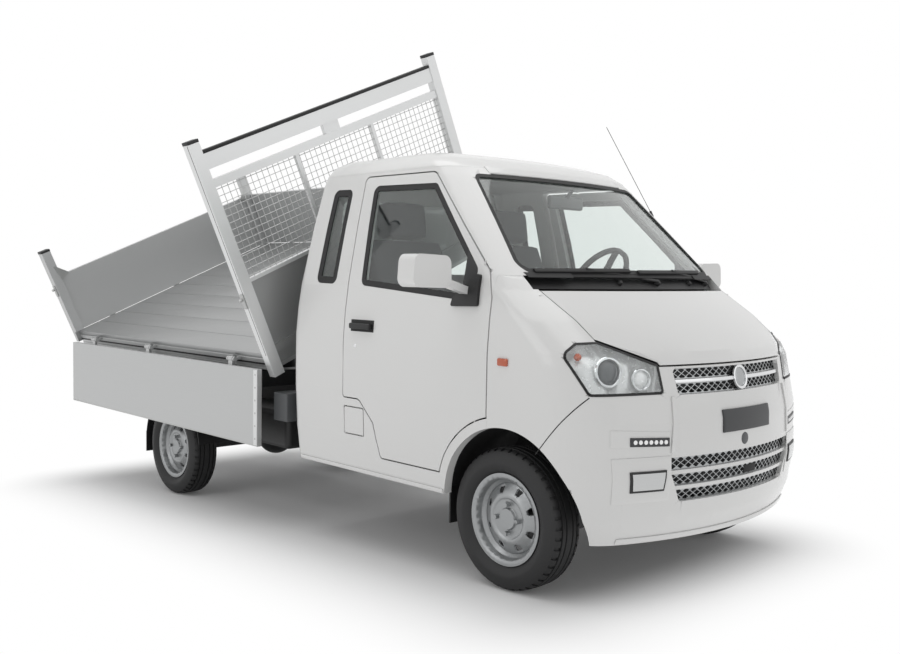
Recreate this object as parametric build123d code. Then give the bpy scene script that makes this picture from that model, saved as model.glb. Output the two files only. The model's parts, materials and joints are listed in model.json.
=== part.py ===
"""Small three-way tipper truck: hollow cab, ladder frame, steel wheels and a load bed tipped to the right.

Every piece is drawn with the body level and the bed down: X forward from the front axle, Y to the left,
Z up from the floor.  The load bed is then tipped, and the whole truck is set on its wheels, nose down.
"""
import math
import os

from build123d import *

# Stance
WHEELBASE = 2730.0
FRONT_TRACK = 1310.0
REAR_TRACK = 1300.0
RAKE = 1.88
ORIGIN_X = -1631.5
ORIGIN_Y = -109.5

# Wheels
TYRE_RADIUS = 280.5
TYRE_WIDTH = 165.0
RIM_RADIUS = 182.0
RIM_WIDTH = 132.0
BEAD_RADIUS = 165.0
HAND_HOLES = 8
LUG_CIRCLE = 57.0
STEER_ANGLE = 34.0

# Load bed and tipping
TIP = 23.5
TIP_MAX = 37.0
PIVOT_Y = -700.0
PIVOT_Z = 785.0
FLOOR_Z = 869.0
BED_FRONT = -1557.0
BED_REAR = -3870.0
BED_HALF = 790.0
FLOOR_THICK = 26.0
POST_WIDE = 60.0
POST_DEEP = 50.0
HEAD_HEIGHT = 1095.0
REAR_POST_HEIGHT = 574.0
BOARD_HEIGHT = 387.0
BOARD_THICK = 25.0
BOARD_PIN_OUT = 35.0
BOARD_PIN_DROP = 30.0
BOARD_OPEN = 180.0 - TIP
HINGES = (-3560.0, -2800.0, -1860.0)

# Cab walls
WALL = 40.0
SKIN = 12.0
GAP = 6.0
DOOR_STEP = 45.0
GLASS_IN = 7.0
GLASS_THICK = 5.0
ARCH_X = 40.0
ARCH_Z = 300.0
ARCH_RADIUS = 350.0
SILL_Z = 335.0
RAIL_TOP = 359.7
ROOF_SEAM = 1698.0
BELT_SEAM = 1236.0
HOOD_FRONT_Z = 905.0
COWL_SEAM = 1183.0
HOOD_SWING = 50.0

# Plan sections of the cab: height, front at the middle, front radius, half width, front corner radius,
# rear, rear corner radius, share of a wall's thickness that is taken downward
CAB_SECTIONS = (
    (250.0, 566.0, 1500.0, 738.0, 250.0, -1372.0, 50.0, 0.0),
    (345.0, 604.0, 1500.0, 758.0, 250.0, -1380.0, 50.0, 0.0),
    (500.0, 624.0, 1500.0, 773.0, 250.0, -1386.0, 50.0, 0.0),
    (700.0, 619.0, 1500.0, 780.0, 245.0, -1390.0, 50.0, 0.0),
    (905.0, 577.0, 1500.0, 779.0, 240.0, -1392.0, 50.0, 0.0),
    (955.0, 530.0, 1700.0, 777.0, 235.0, -1392.0, 50.0, 0.0),
    (1070.0, 360.0, 2200.0, 768.0, 215.0, -1392.0, 55.0, 0.0),
    (1180.0, 172.0, 2600.0, 752.0, 170.0, -1392.0, 60.0, 0.0),
    (1236.0, 112.0, 2600.0, 740.0, 150.0, -1392.0, 65.0, 0.0),
    (1450.0, -106.0, 2500.0, 690.0, 135.0, -1391.0, 75.0, 0.0),
    (1660.0, -320.0, 2350.0, 635.0, 125.0, -1386.0, 85.0, 0.0),
    (1705.0, -370.0, 2300.0, 620.0, 122.0, -1378.0, 88.0, 0.35),
    (1745.0, -437.0, 2200.0, 592.0, 118.0, -1360.0, 90.0, 0.65),
    (1775.0, -540.0, 2000.0, 535.0, 115.0, -1318.0, 92.0, 0.9),
    (1792.0, -680.0, 1800.0, 440.0, 112.0, -1240.0, 95.0, 1.0),
)

# Door outline seen from the side: X, Z and corner radius; the front edge follows the wheel arch
DOOR_FRONT = -48.0
DOOR_REAR = -980.0
DOOR_BOTTOM = 420.0
DOOR_ARCH_RADIUS = ARCH_RADIUS + 38.0
DOOR_HINGE_X = -120.0
DOOR_HINGE_LOW = (-772.5, 664.0)
DOOR_HINGE_HIGH = (-725.2, 1272.0)
DOOR_PINS = ((638.0, 682.0), (1262.0, 1294.0))
HINGE_PIN = 2.9
HINGE_PLAY = 0.5
MIRROR_FOOT = 14.0
HOOD_AXIS = (114.0, 1160.0)
FLAP_AXIS = (-836.0, -769.5)
DOOR_SWING = 62.0

# Windows seen from the side or the front: (along, up) corners
DOOR_WINDOW = ((-885.0, 1182.0), (-150.0, 1128.0), (-152.0, 1262.0), (-500.0, 1626.0), (-930.0, 1636.0))
QUARTER_WINDOW = ((-1232.0, 1188.0), (-1075.0, 1184.0), (-1086.0, 1628.0), (-1230.0, 1632.0))
SCREEN = ((-668.0, 1244.0), (668.0, 1244.0), (540.0, 1668.0), (-540.0, 1668.0))
REAR_WINDOW = ((-540.0, 1235.0), (540.0, 1235.0), (500.0, 1600.0), (-500.0, 1600.0))

# Grilles and lamps of the nose seen from the front: (Y, Z) corners
UPPER_GRILLE = ((-386.0, 897.0), (386.0, 897.0), (372.0, 800.0), (-372.0, 800.0))
LOWER_GRILLE = ((-452.0, 572.0), (452.0, 572.0), (372.0, 402.0), (-372.0, 402.0))
GRILLE_BARS = ((448.0, 462.0), (508.0, 522.0))
RUNNING_LIGHT = ((-436.0, 634.0), (-436.0, 660.0), (-650.0, 676.0), (-650.0, 652.0))
FOG_RADIUS = 44.0
MESH_WIDE = 38.0
MESH_HIGH = 24.0
MESH_WEB = 3.2

# Tipping cylinder
CYL_X = -2560.0
CYL_FOOT_Z = 470.0
CYL_HEAD_Z = 795.0
BARREL_RADIUS = 58.0
STAGE_RADIUS = 46.0
RAM_RADIUS = 34.0

# Cab fittings
SEAT_Y = 365.0
STEER_Y = 370.0
COLUMN_TOP = (-430.0, STEER_Y, 1205.0)
COLUMN_LEAN = 32.0
HUB_DEPTH = 44.0
FUEL_FLAP = ((-966.0, 509.0), (-830.0, 509.0), (-830.0, 628.0), (-966.0, 628.0))
FLAP_SWING = 100.0
KINGPIN_Y = 632.0

# Bed fittings
HEAD_HALF = 788.0
PIVOT_X = (-3380.0, -1800.0)
CROSS_X = (-3640.0, -3380.0, -3120.0, -2860.0, -2300.0, -2050.0, -1800.0)
GATE_HINGES = (-520.0, 0.0, 520.0)
NET_PITCH = 66.0
NET_WIRE = 5.0

REAR_AXLE_X = -WHEELBASE * math.cos(math.radians(RAKE))
REAR_AXLE_Z = TYRE_RADIUS - WHEELBASE * math.sin(math.radians(RAKE))
BOARD_PIN_Y = BED_HALF + BOARD_PIN_OUT
BOARD_PIN_Z = FLOOR_Z - BOARD_PIN_DROP
BED_PIN_X = BED_REAR - BOARD_PIN_OUT
WHEELS = (("front_left", 0.0, FRONT_TRACK / 2, TYRE_RADIUS),
          ("front_right", 0.0, -FRONT_TRACK / 2, TYRE_RADIUS),
          ("rear_left", REAR_AXLE_X, REAR_TRACK / 2, REAR_AXLE_Z),
          ("rear_right", REAR_AXLE_X, -REAR_TRACK / 2, REAR_AXLE_Z))
COLUMN_END = (COLUMN_TOP[0] + (HUB_DEPTH + 0.5) * math.cos(math.radians(COLUMN_LEAN)), STEER_Y,
              COLUMN_TOP[2] - (HUB_DEPTH + 0.5) * math.sin(math.radians(COLUMN_LEAN)))
CYL_SHUT = CYL_HEAD_Z - CYL_FOOT_Z
HEAD_RISE = CYL_HEAD_Z - PIVOT_Z


def cylinder_at(tip):
    """Length and lean of the cylinder when the bed is tipped by an angle."""
    turn = math.radians(tip)
    y = PIVOT_Y - PIVOT_Y * math.cos(turn) - HEAD_RISE * math.sin(turn)
    z = PIVOT_Z - PIVOT_Y * math.sin(turn) + HEAD_RISE * math.cos(turn) - CYL_FOOT_Z
    return math.hypot(y, z), math.degrees(math.atan2(-y, z))


CYL_DRAWN = cylinder_at(TIP)[0] - CYL_SHUT
CYL_LEAN = cylinder_at(TIP)[1]


def stood(shape):
    """Set a piece of the level truck on its wheels, nose down, over the chosen origin."""
    turned = shape.rotate(Axis((0, 0, TYRE_RADIUS), (0, 1, 0)), RAKE)
    return turned.moved(Location((-ORIGIN_X, -ORIGIN_Y, 0)))


def tipped(shape):
    """Tip a piece of the lowered bed to the right, then stand it with the truck."""
    return stood(shape.rotate(Axis((0, PIVOT_Y, PIVOT_Z), (1, 0, 0)), TIP))


def block(x0, x1, y0, y1, z0, z1):
    """Box between two corners."""
    return Pos((x0 + x1) / 2, (y0 + y1) / 2, (z0 + z1) / 2) * Box(abs(x1 - x0), abs(y1 - y0), abs(z1 - z0))


def rod(start, end, radius):
    """Round bar between two points."""
    start = Vector(*start)
    along = Vector(*end) - start
    return Solid.make_cylinder(radius, along.length, Plane(origin=start, z_dir=along))


def bar(start, end, wide, high, up=(0, 0, 1)):
    """Rectangular bar between two points; its height lies towards up."""
    start = Vector(*start)
    along = Vector(*end) - start
    across = along.cross(Vector(*up))
    plane = Plane(origin=start, x_dir=across, z_dir=along)
    return extrude(plane * Rectangle(wide, high), along.length)


def polygon(points, radii=None):
    """Flat face in the XY plane with rounded corners."""
    if radii is None:
        return make_face(Polyline(*points, close=True))
    if not isinstance(radii, (list, tuple)):
        radii = [radii] * len(points)
    return make_face(FilletPolyline(*points, radius=list(radii), close=True))


def side_prism(face, y0, y1):
    """Face drawn as (X, Z), pulled from y0 to y1."""
    low, high = min(y0, y1), max(y0, y1)
    return extrude(Plane(origin=(0, high, 0), x_dir=(1, 0, 0), z_dir=(0, -1, 0)) * face, high - low)


def front_prism(face, x0, x1):
    """Face drawn as (Y, Z), pulled from x0 to x1."""
    low, high = min(x0, x1), max(x0, x1)
    return extrude(Plane(origin=(low, 0, 0), x_dir=(0, 1, 0), z_dir=(1, 0, 0)) * face, high - low)


def plan_prism(face, z0, z1):
    """Face drawn as (X, Y), pulled from z0 to z1."""
    return Pos(0, 0, z0) * extrude(face, z1 - z0)


def mirrored(shape):
    """The other side's piece."""
    return mirror(shape, about=Plane.XZ)


def plan_outline(z, front, bow, half, corner, rear, rear_corner):
    """Closed outline of the cab at one height: bowed front, round corners, straight sides and rear."""
    cx = front - bow + math.sqrt((bow - corner) ** 2 - (half - corner) ** 2)
    cy = half - corner
    ux = cx - (front - bow)
    reach = math.hypot(ux, cy)
    tx = front - bow + ux / reach * bow
    ty = cy / reach * bow
    turn = (math.atan2(cy, ux) + math.pi / 2) / 2
    mx = cx + corner * math.cos(turn)
    my = cy + corner * math.sin(turn)
    diag = rear_corner * (1 - math.sqrt(0.5))
    edges = [
        ThreePointArc((tx, -ty), (front, 0), (tx, ty)),
        ThreePointArc((tx, ty), (mx, my), (cx, half)),
        Line((cx, half), (rear + rear_corner, half)),
        ThreePointArc((rear + rear_corner, half), (rear + diag, half - diag), (rear, half - rear_corner)),
        Line((rear, half - rear_corner), (rear, rear_corner - half)),
        ThreePointArc((rear, rear_corner - half), (rear + diag, diag - half), (rear + rear_corner, -half)),
        Line((rear + rear_corner, -half), (cx, -half)),
        ThreePointArc((cx, -half), (mx, -my), (tx, -ty)),
    ]
    return Pos(0, 0, z) * Face(Wire(edges))


def cab_block(inset):
    """Solid of the whole cab, its walls moved inward by an inset."""
    faces = []
    last = len(CAB_SECTIONS) - 1
    for i, (z, front, bow, half, corner, rear, rear_corner, drop) in enumerate(CAB_SECTIONS):
        below = CAB_SECTIONS[max(i - 1, 0)]
        above = CAB_SECTIONS[min(i + 1, last)]
        rise = above[0] - below[0]
        lean_front = min(math.hypot(1, (above[1] - below[1]) / rise), 1.9)
        lean_side = min(math.hypot(1, (above[3] - below[3]) / rise), 1.3)
        ahead = inset * (lean_front * (1 - drop) + 0.5 * drop)
        beside = inset * (lean_side * (1 - drop) + 0.5 * drop)
        faces.append(plan_outline(z - drop * inset, front - ahead, bow - inset, half - beside,
                                  max(corner - inset, 30.0), rear + inset * (1 - 0.5 * drop),
                                  max(rear_corner - inset, 8.0)))
    return Solid.make_loft([face.outer_wire() for face in faces], ruled=True)


def door_face(inset):
    """Door outline in side view, made smaller by an inset."""
    front = DOOR_FRONT - inset
    rear = DOOR_REAR + inset
    low = DOOR_BOTTOM + inset
    arch = DOOR_ARCH_RADIUS + inset
    arch_top = ARCH_Z + math.sqrt(arch ** 2 - (front - ARCH_X) ** 2)
    arch_low = ARCH_X - math.sqrt(arch ** 2 - (low - ARCH_Z) ** 2)
    turn = math.radians(135.0)
    mid = (ARCH_X + arch * math.cos(turn), ARCH_Z + arch * math.sin(turn))
    lean = inset * 0.75
    path = FilletPolyline(
        (arch_low, low), (-716.0 + inset * 0.6, low), (-764.0 + inset, 574.0 + inset * 0.5),
        (-862.0 + inset * 0.6, 668.0 + inset), (rear, 668.0 + inset), (rear, 1150.0),
        (-1008.0 + inset, 1684.0 - inset), (-522.0 - inset * 0.3, 1680.0 - inset),
        (-82.0 - lean, 1252.0 - lean), (front, 1150.0), (front, arch_top),
        radius=[18.0, 40.0, 45.0, 14.0, 200.0, 25.0, 60.0, 90.0, 60.0])
    arc = ThreePointArc((front, arch_top), mid, (arch_low, low))
    return make_face(Curve() + [path, arc])


def door_axis(z):
    """Point of the right door's hinge line at one height, midway in the skin."""
    low_y, low_z = DOOR_HINGE_LOW
    high_y, high_z = DOOR_HINGE_HIGH
    return DOOR_HINGE_X, low_y + (high_y - low_y) * (z - low_z) / (high_z - low_z), z


def window_face(points, grow):
    """Window outline with round corners, grown by a margin."""
    face = polygon(points, 34.0)
    return offset(face, amount=grow) if grow else face


def cab_layers():
    """The cab's outer solid and the solids one skin, one glass and one wall further in."""
    insets = {"outer": 0.0, "skin": SKIN, "glass_out": GLASS_IN, "glass_in": GLASS_IN + GLASS_THICK,
              "cowl_out": 26.0, "cowl_in": 38.0, "mesh_out": 18.0, "mesh_in": 25.0, "pocket": SKIN + GAP,
              "inner": WALL, "lining": WALL + GAP}
    return {name: cab_block(inset) for name, inset in insets.items()}


def right_door(layers):
    """Right door: a thin outer skin to the shut line, stepped inward behind it, with the window cut."""
    far = -1000.0
    near = -420.0
    skin = (layers["outer"] & side_prism(door_face(GAP), far, near)) - layers["skin"]
    frame = (layers["skin"] & side_prism(door_face(DOOR_STEP), far, near)) - layers["inner"]
    window = side_prism(window_face(DOOR_WINDOW, 0.0), far, near)
    door = (skin + frame) - window
    room = HINGE_PIN + HINGE_PLAY
    for z0, z1 in DOOR_PINS:
        x, y, z = door_axis((z0 + z1) / 2)
        door = door - block(x - room, x + room, y - room - 1, y + SKIN, z0 - 2, z1 + 2)
    return door


def window_pane(layers, outline, margin, y0, y1):
    """Pane of glass in a side window."""
    prism = side_prism(window_face(outline, -margin), y0, y1)
    return (layers["glass_out"] & prism) - layers["glass_in"]


def lamp_prism(grow):
    """Right headlamp outline, pulled along the corner of the nose."""
    face = polygon(((-51.0, 913.0), (-285.0, 995.0), (-368.0, 992.0), (-424.0, 950.0), (-330.0, 803.0),
                    (-30.0, 806.0)), (12.0, 30.0, 25.0, 30.0, 25.0, 14.0))
    if grow:
        face = offset(face, amount=grow)
    plane = Plane(origin=(0.8 * 420.0, -0.6 * 420.0, 0), x_dir=(0.6, 0.8, 0), z_dir=(0.8, -0.6, 0))
    return extrude(plane * face, 500.0)


def both(shape):
    """Cutter for the right side together with its left copy."""
    return shape + mirrored(shape)


def diamond_sheet(outline, pitch_y, pitch_z, web):
    """Flat lattice of diamonds inside an outline, as (Y, Z)."""
    box = outline.bounding_box()
    rows = int((box.max.Y - box.min.Y) / pitch_z) + 2
    columns = int((box.max.X - box.min.X) / pitch_y) + 2
    cut_y = pitch_y / 2 - web * 0.8
    cut_z = pitch_z / 2 - web * 0.45
    hole = make_face(Polyline((cut_y, 0), (0, cut_z), (-cut_y, 0), (0, -cut_z), close=True))
    middle = (box.min.Y + box.max.Y) / 2
    places = []
    for row in range(-rows, rows + 1):
        for column in range(-columns, columns + 1):
            if (row + column) % 2 == 0:
                y = column * pitch_y / 2
                z = middle + row * pitch_z / 2
                if abs(y) < box.max.X - cut_y * 0.5 and abs(z - middle) < box.max.Y - middle - cut_z * 0.5:
                    places.append((y, z))
    frame = outline - offset(outline, amount=-web)
    inner = offset(outline, amount=-web)
    return frame + (inner - [Pos(y, z) * hole for y, z in places])


def front_pieces(front, layers):
    """Hood, fenders, bumper, cowl, lamps and grilles of the nose."""
    out = {}
    hood_half = [(-60.0, 645.0), (112.0, 643.0), (362.0, 628.0), (500.0, 440.0), (800.0, 440.0)]
    hood_plan = polygon(hood_half + [(x, -y) for x, y in reversed(hood_half)])
    hood_cut = plan_prism(hood_plan, HOOD_FRONT_Z, COWL_SEAM)
    lamps = both(lamp_prism(0.3))
    bumper_side = polygon(((120.0, 200.0), (800.0, 200.0), (800.0, HOOD_FRONT_Z), (472.0, HOOD_FRONT_Z),
                           (404.0, 802.0), (205.0, 575.0), (120.0, 520.0)))
    bumper_cut = side_prism(bumper_side, -900, 900)
    cowl_cut = block(-60, 400, -662, 662, COWL_SEAM, BELT_SEAM + 1)

    hood_inner = [(-60.0, 639.0), (112.0, 637.0), (358.0, 622.0), (497.0, 435.0), (800.0, 435.0)]
    hood_face = polygon(hood_inner + [(x, -y) for x, y in reversed(hood_inner)])
    hood = (layers["outer"] & plan_prism(hood_face, HOOD_FRONT_Z + GAP, COWL_SEAM - GAP)) - layers["skin"]
    hood = hood - both(lamp_prism(GAP + 2.0))
    for s in (-1, 1):
        hood = hood - rod((HOOD_AXIS[0], s * 612, HOOD_AXIS[1]), (HOOD_AXIS[0], s * 645, HOOD_AXIS[1]),
                          HINGE_PIN + HINGE_PLAY)
    out["hood"] = hood

    fender = front - hood_cut - bumper_cut - cowl_cut - lamps
    fender = fender & block(DOOR_FRONT + 0.5, 800, -900, -300, 200, BELT_SEAM - 0.4)
    fender = max(fender.solids(), key=lambda s: s.volume)
    pin = rod((HOOD_AXIS[0], -665, HOOD_AXIS[1]), (HOOD_AXIS[0], -614, HOOD_AXIS[1]), HINGE_PIN)
    out["fender_right"] = fender + pin

    cowl = layers["cowl_out"] & block(-60, 400, -660, 660, COWL_SEAM + 0.6, BELT_SEAM - 0.4)
    out["cowl"] = max((cowl - layers["cowl_in"]).solids(), key=lambda s: s.volume)

    bumper = (front & bumper_cut) - lamps - hood_cut
    bumper = bumper & block(-60, 800, -900, 900, 200, HOOD_FRONT_Z - 0.4)
    upper = polygon(UPPER_GRILLE, 16.0)
    lower = polygon(LOWER_GRILLE, 22.0)
    bumper = bumper - front_prism(upper, 300, 800) - front_prism(lower, 300, 800)
    fog = rod((470, -580, 512), (760, -730, 512), FOG_RADIUS + 0.3)
    strip = front_prism(polygon(RUNNING_LIGHT, 6.0), 300, 800)
    bumper = bumper - both(fog) - both(strip)
    bumper = max(bumper.solids(), key=lambda s: s.volume)
    for z0, z1 in GRILLE_BARS:
        ribs = (layers["glass_out"] & front_prism(lower, 300, 800) & block(300, 800, -600, 600, z0, z1))
        bumper = bumper + (ribs - layers["inner"])
    mid = (UPPER_GRILLE[0][1] + UPPER_GRILLE[2][1]) / 2
    bar_cut = front_prism(upper, 300, 800) & block(300, 800, -600, 600, mid - 7, mid + 7)
    bumper = bumper + ((layers["glass_out"] & bar_cut) - layers["inner"])
    out["front_bumper"] = bumper

    sheets = []
    rows = [(UPPER_GRILLE[2][1], mid - 7), (mid + 7, UPPER_GRILLE[0][1])]
    for z0, z1 in rows:
        field = upper & Pos(0, (z0 + z1) / 2) * Rectangle(1000, z1 - z0 - 0.8)
        sheets.append(offset(field, amount=-0.5))
    edges = [LOWER_GRILLE[2][1]] + [z for pair in GRILLE_BARS for z in pair] + [LOWER_GRILLE[0][1]]
    for z0, z1 in zip(edges[0::2], edges[1::2]):
        field = lower & Pos(0, (z0 + z1) / 2) * Rectangle(1200, z1 - z0 - 0.8)
        sheets.append(offset(field, amount=-0.5))
    grille = []
    for field in sheets:
        lattice = front_prism(diamond_sheet(field, MESH_WIDE, MESH_HIGH, MESH_WEB), 300, 800)
        grille += ((layers["mesh_out"] & lattice) - layers["mesh_in"]).solids()
    out["grille"] = grille

    lamp = (layers["outer"] & lamp_prism(0.0)) - layers["inner"]
    out["headlamp_right"] = lamp
    fog_lamp = rod((470, -580, 512), (760, -730, 512), FOG_RADIUS)
    out["fog_right"] = (layers["glass_out"] & fog_lamp) - layers["inner"]
    strip = front_prism(offset(polygon(RUNNING_LIGHT, 6.0), amount=-0.6), 300, 800)
    out["strip_right"] = (layers["glass_out"] & strip) - layers["inner"]
    return out


def cab_pieces():
    """All panels of the hollow cab, in the level frame."""
    layers = cab_layers()
    shell = layers["outer"] - layers["inner"]
    low_cut = block(-1500, 330, -900, 900, 200, SILL_Z)
    arches = [side_prism(Pos(ARCH_X, ARCH_Z) * Circle(ARCH_RADIUS), s * 420, s * 900) for s in (-1, 1)]
    shell = shell - low_cut
    for arch in arches:
        shell = shell - arch
    nose = block(DOOR_FRONT, 800, -900, 900, 200, BELT_SEAM)
    house = shell - nose
    front = shell & nose
    pieces = {}

    # Greenhouse and body sides
    opening = side_prism(door_face(0.0), -1000, -420)
    quarter = side_prism(window_face(QUARTER_WINDOW, 0.0), -1000, -420)
    screen = front_prism(polygon(SCREEN, 45.0), -700, 400)
    rear_light = front_prism(polygon(REAR_WINDOW, 45.0), -1500, -1250)
    back_cut = block(-1500, -1345, -600, 600, RAIL_TOP + 0.3, ROOF_SEAM)
    pieces["cab_roof"] = (house & block(-1500, 300, -900, 900, ROOF_SEAM, 1900)) - screen
    walls = house & block(-1500, 300, -900, 900, 200, ROOF_SEAM - 0.4)
    pieces["cab_back"] = (walls & back_cut) - rear_light
    side = (walls - back_cut) - screen - opening - quarter
    side = side & block(-1500, 300, -900, -450, 200, 1800)
    for z0, z1 in DOOR_PINS:
        side = side + rod(door_axis(z0), door_axis(z1), HINGE_PIN)
    pieces["side_right"] = side
    pieces["windshield"] = (layers["glass_out"] & screen) - layers["glass_in"]
    pieces["rear_glass"] = (layers["glass_out"] & rear_light) - layers["glass_in"]
    pieces["quarter_glass"] = window_pane(layers, QUARTER_WINDOW, 0.3, -1000, -420)
    pieces["door_right"] = right_door(layers)
    pieces["door_glass"] = window_pane(layers, DOOR_WINDOW, 0.3, -1000, -420)
    pieces.update(front_pieces(front, layers))
    pieces["layers"] = layers
    return pieces


def cab_inside(layers):
    """Floor with wheel houses and seat box, dashboard, seats and inner mirror."""
    out = {}
    lining = layers["lining"]
    floor = block(-1344.7, -322, -760, 760, 360, 400) & lining
    toe = side_prism(polygon(((-324, 360), (40, 360), (250, 520), (262, 1080), (236, 1080), (226, 536),
                              (24, 400), (-324, 400))), -394, 394)
    floor = floor + toe
    seat_box = block(-1230, -430, -640, 640, 398, 690) - block(-1215, -445, -625, 625, 300, 675)
    engine_room = block(-1215, -445, -300, 300, 300, 420)
    floor = (floor + seat_box) - engine_room
    for s in (-1, 1):
        ring = Pos(ARCH_X, ARCH_Z) * (Circle(ARCH_RADIUS + 14) - Circle(ARCH_RADIUS + 4))
        house = side_prism(ring, s * 394, s * 900)
        disc = side_prism(Pos(ARCH_X, ARCH_Z) * Circle(ARCH_RADIUS + 14), s * 394, s * 406)
        house = (house + disc) & block(-340, 236, -900, 900, 360, 700)
        floor = floor + (house & lining)
    out["cab_floor"] = max(floor.solids(), key=lambda x: x.volume)

    outline = polygon(((235.4, 1070), (60, 1118), (-60, 1140), (-190, 1128), (-246, 1066), (-226, 930),
                       (-120, 760), (229.0, 720)), (10, 20, 30, 30, 35, 30, 30, 20))
    dash = side_prism(outline, -668, 668)
    brow = polygon(((-60, 1130), (-110, 1190), (-220, 1170), (-240, 1080), (-80, 1080)), 14)
    binnacle = side_prism(brow, 230, 510)
    dash = (dash + binnacle) & lining
    reach = 240.0 * math.tan(math.radians(COLUMN_LEAN))
    column = rod((COLUMN_END[0] + 240, STEER_Y, COLUMN_END[2] - reach), COLUMN_END, 26)
    out["dashboard"] = max((dash + column).solids(), key=lambda x: x.volume)

    back = side_prism(polygon(((-770, 770), (-1010, 1350), (-1090, 1390), (-1150, 1350), (-930, 740)),
                              (20, 25, 20, 25, 20)), -235, 235)
    cushion = side_prism(polygon(((-330, 690.3), (-330, 812), (-420, 850), (-800, 800), (-860, 690.3)),
                                 (30, 30, 30, 20, 30)), -240, 240)
    pad = polygon(((-985, 1410), (-1015, 1560), (-1075, 1580), (-1120, 1555), (-1095, 1400)), 24)
    rest = side_prism(pad, -130, 130)
    posts = [rod((-1070, y, 1350), (-1055, y, 1440), 7) for y in (-60, 60)]
    seat = back + cushion + rest + posts
    out["seats"] = [Pos(0, y, 0) * seat for y in (-SEAT_Y, SEAT_Y)]
    return out


def steering_wheel():
    """Rim, three spokes and hub, drawn flat; the column is its Z axis."""
    ring = revolve(Plane.XZ * Pos(185, 0) * Circle(14), Axis.Z)
    hub = Pos(0, 0, -HUB_DEPTH / 2) * Cylinder(62, HUB_DEPTH)
    wheel = ring + hub
    for turn in (0, 180, 270):
        wheel = wheel + Rot(0, 0, turn) * block(40, 178, -17, 17, -16, -2)
    tilt = Plane(origin=COLUMN_TOP, z_dir=Vector(*COLUMN_TOP) - Vector(*COLUMN_END))
    return tilt.location * wheel


def right_mirror():
    """Outer mirror with its foot on the door's window corner."""
    shell = front_prism(polygon(((-862, 1182), (-866, 1308), (-1052, 1314), (-1062, 1186)), 34), -262, -168)
    arm = bar((-196, -735, 1164), (-204, -880, 1208), 44, 30)
    cover = polygon(((-118, 1112), (-270, 1108), (-262, 1142), (-152, 1240), (-122, 1236)), 9)
    foot = cab_block(-MIRROR_FOOT) & side_prism(cover, -900, -600)
    return shell + arm + foot


def wheel_rim():
    """Pressed steel wheel drawn about the Z axis, outer side up."""
    half = RIM_WIDTH / 2
    outer = [(RIM_RADIUS, -half), (RIM_RADIUS, 6 - half), (BEAD_RADIUS, 7 - half), (BEAD_RADIUS, 26 - half),
             (BEAD_RADIUS - 17, 44 - half), (BEAD_RADIUS - 17, half - 44), (BEAD_RADIUS, half - 26),
             (BEAD_RADIUS, half - 7), (RIM_RADIUS, half - 6), (RIM_RADIUS, half)]
    inner = [(RIM_RADIUS - 8, half), (BEAD_RADIUS - 7, half - 4), (BEAD_RADIUS - 7, half - 28),
             (BEAD_RADIUS - 24, half - 45), (BEAD_RADIUS - 24, 45 - half), (BEAD_RADIUS - 7, 28 - half),
             (BEAD_RADIUS - 7, 4 - half), (RIM_RADIUS - 8, -half)]
    barrel = revolve(Plane.XZ * polygon(outer + inner), Axis.Z)
    face = [(146, 14), (136, 24), (128, 26), (98, 46), (86, 48), (74, 40), (46, 40), (40, 52), (0, 52),
            (0, 22), (50, 22), (74, 30), (86, 38), (98, 36), (128, 14), (146, 2)]
    disc = revolve(Plane.XZ * polygon(face), Axis.Z)
    hole = polygon(((104, -9), (128, -17), (128, 17), (104, 9)), 5)
    rim = barrel + disc
    for i in range(HAND_HOLES):
        rim = rim - Rot(0, 0, 360.0 * i / HAND_HOLES + 22.5) * extrude(hole, 80)
    lug = Pos(LUG_CIRCLE, 0, 46) * extrude(RegularPolygon(10, 6), 16, both=True)
    for i in range(4):
        rim = rim + Rot(0, 0, 90.0 * i) * lug
    return rim


def tyre():
    """Tyre as one closed ring about the Z axis."""
    side = TYRE_WIDTH / 2
    bead = RIM_WIDTH / 2 - 7.5
    seat = BEAD_RADIUS + 0.3
    bulge = (RIM_RADIUS + TYRE_RADIUS) / 2
    points = [(seat, -bead), (RIM_RADIUS + 5, -bead), (bulge, -side), (TYRE_RADIUS, -side * 0.68),
              (TYRE_RADIUS, side * 0.68), (bulge, side), (RIM_RADIUS + 5, bead), (seat, bead)]
    return revolve(Plane.XZ * polygon(points), Axis.Z)


def at_wheel(shape, x, y, z):
    """Turn a wheel drawn about Z so that its outer side faces away from the truck."""
    turn = Rot(-90, 0, 0) if y > 0 else Rot(90, 0, 0)
    return Pos(x, y, z) * turn * shape


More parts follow.
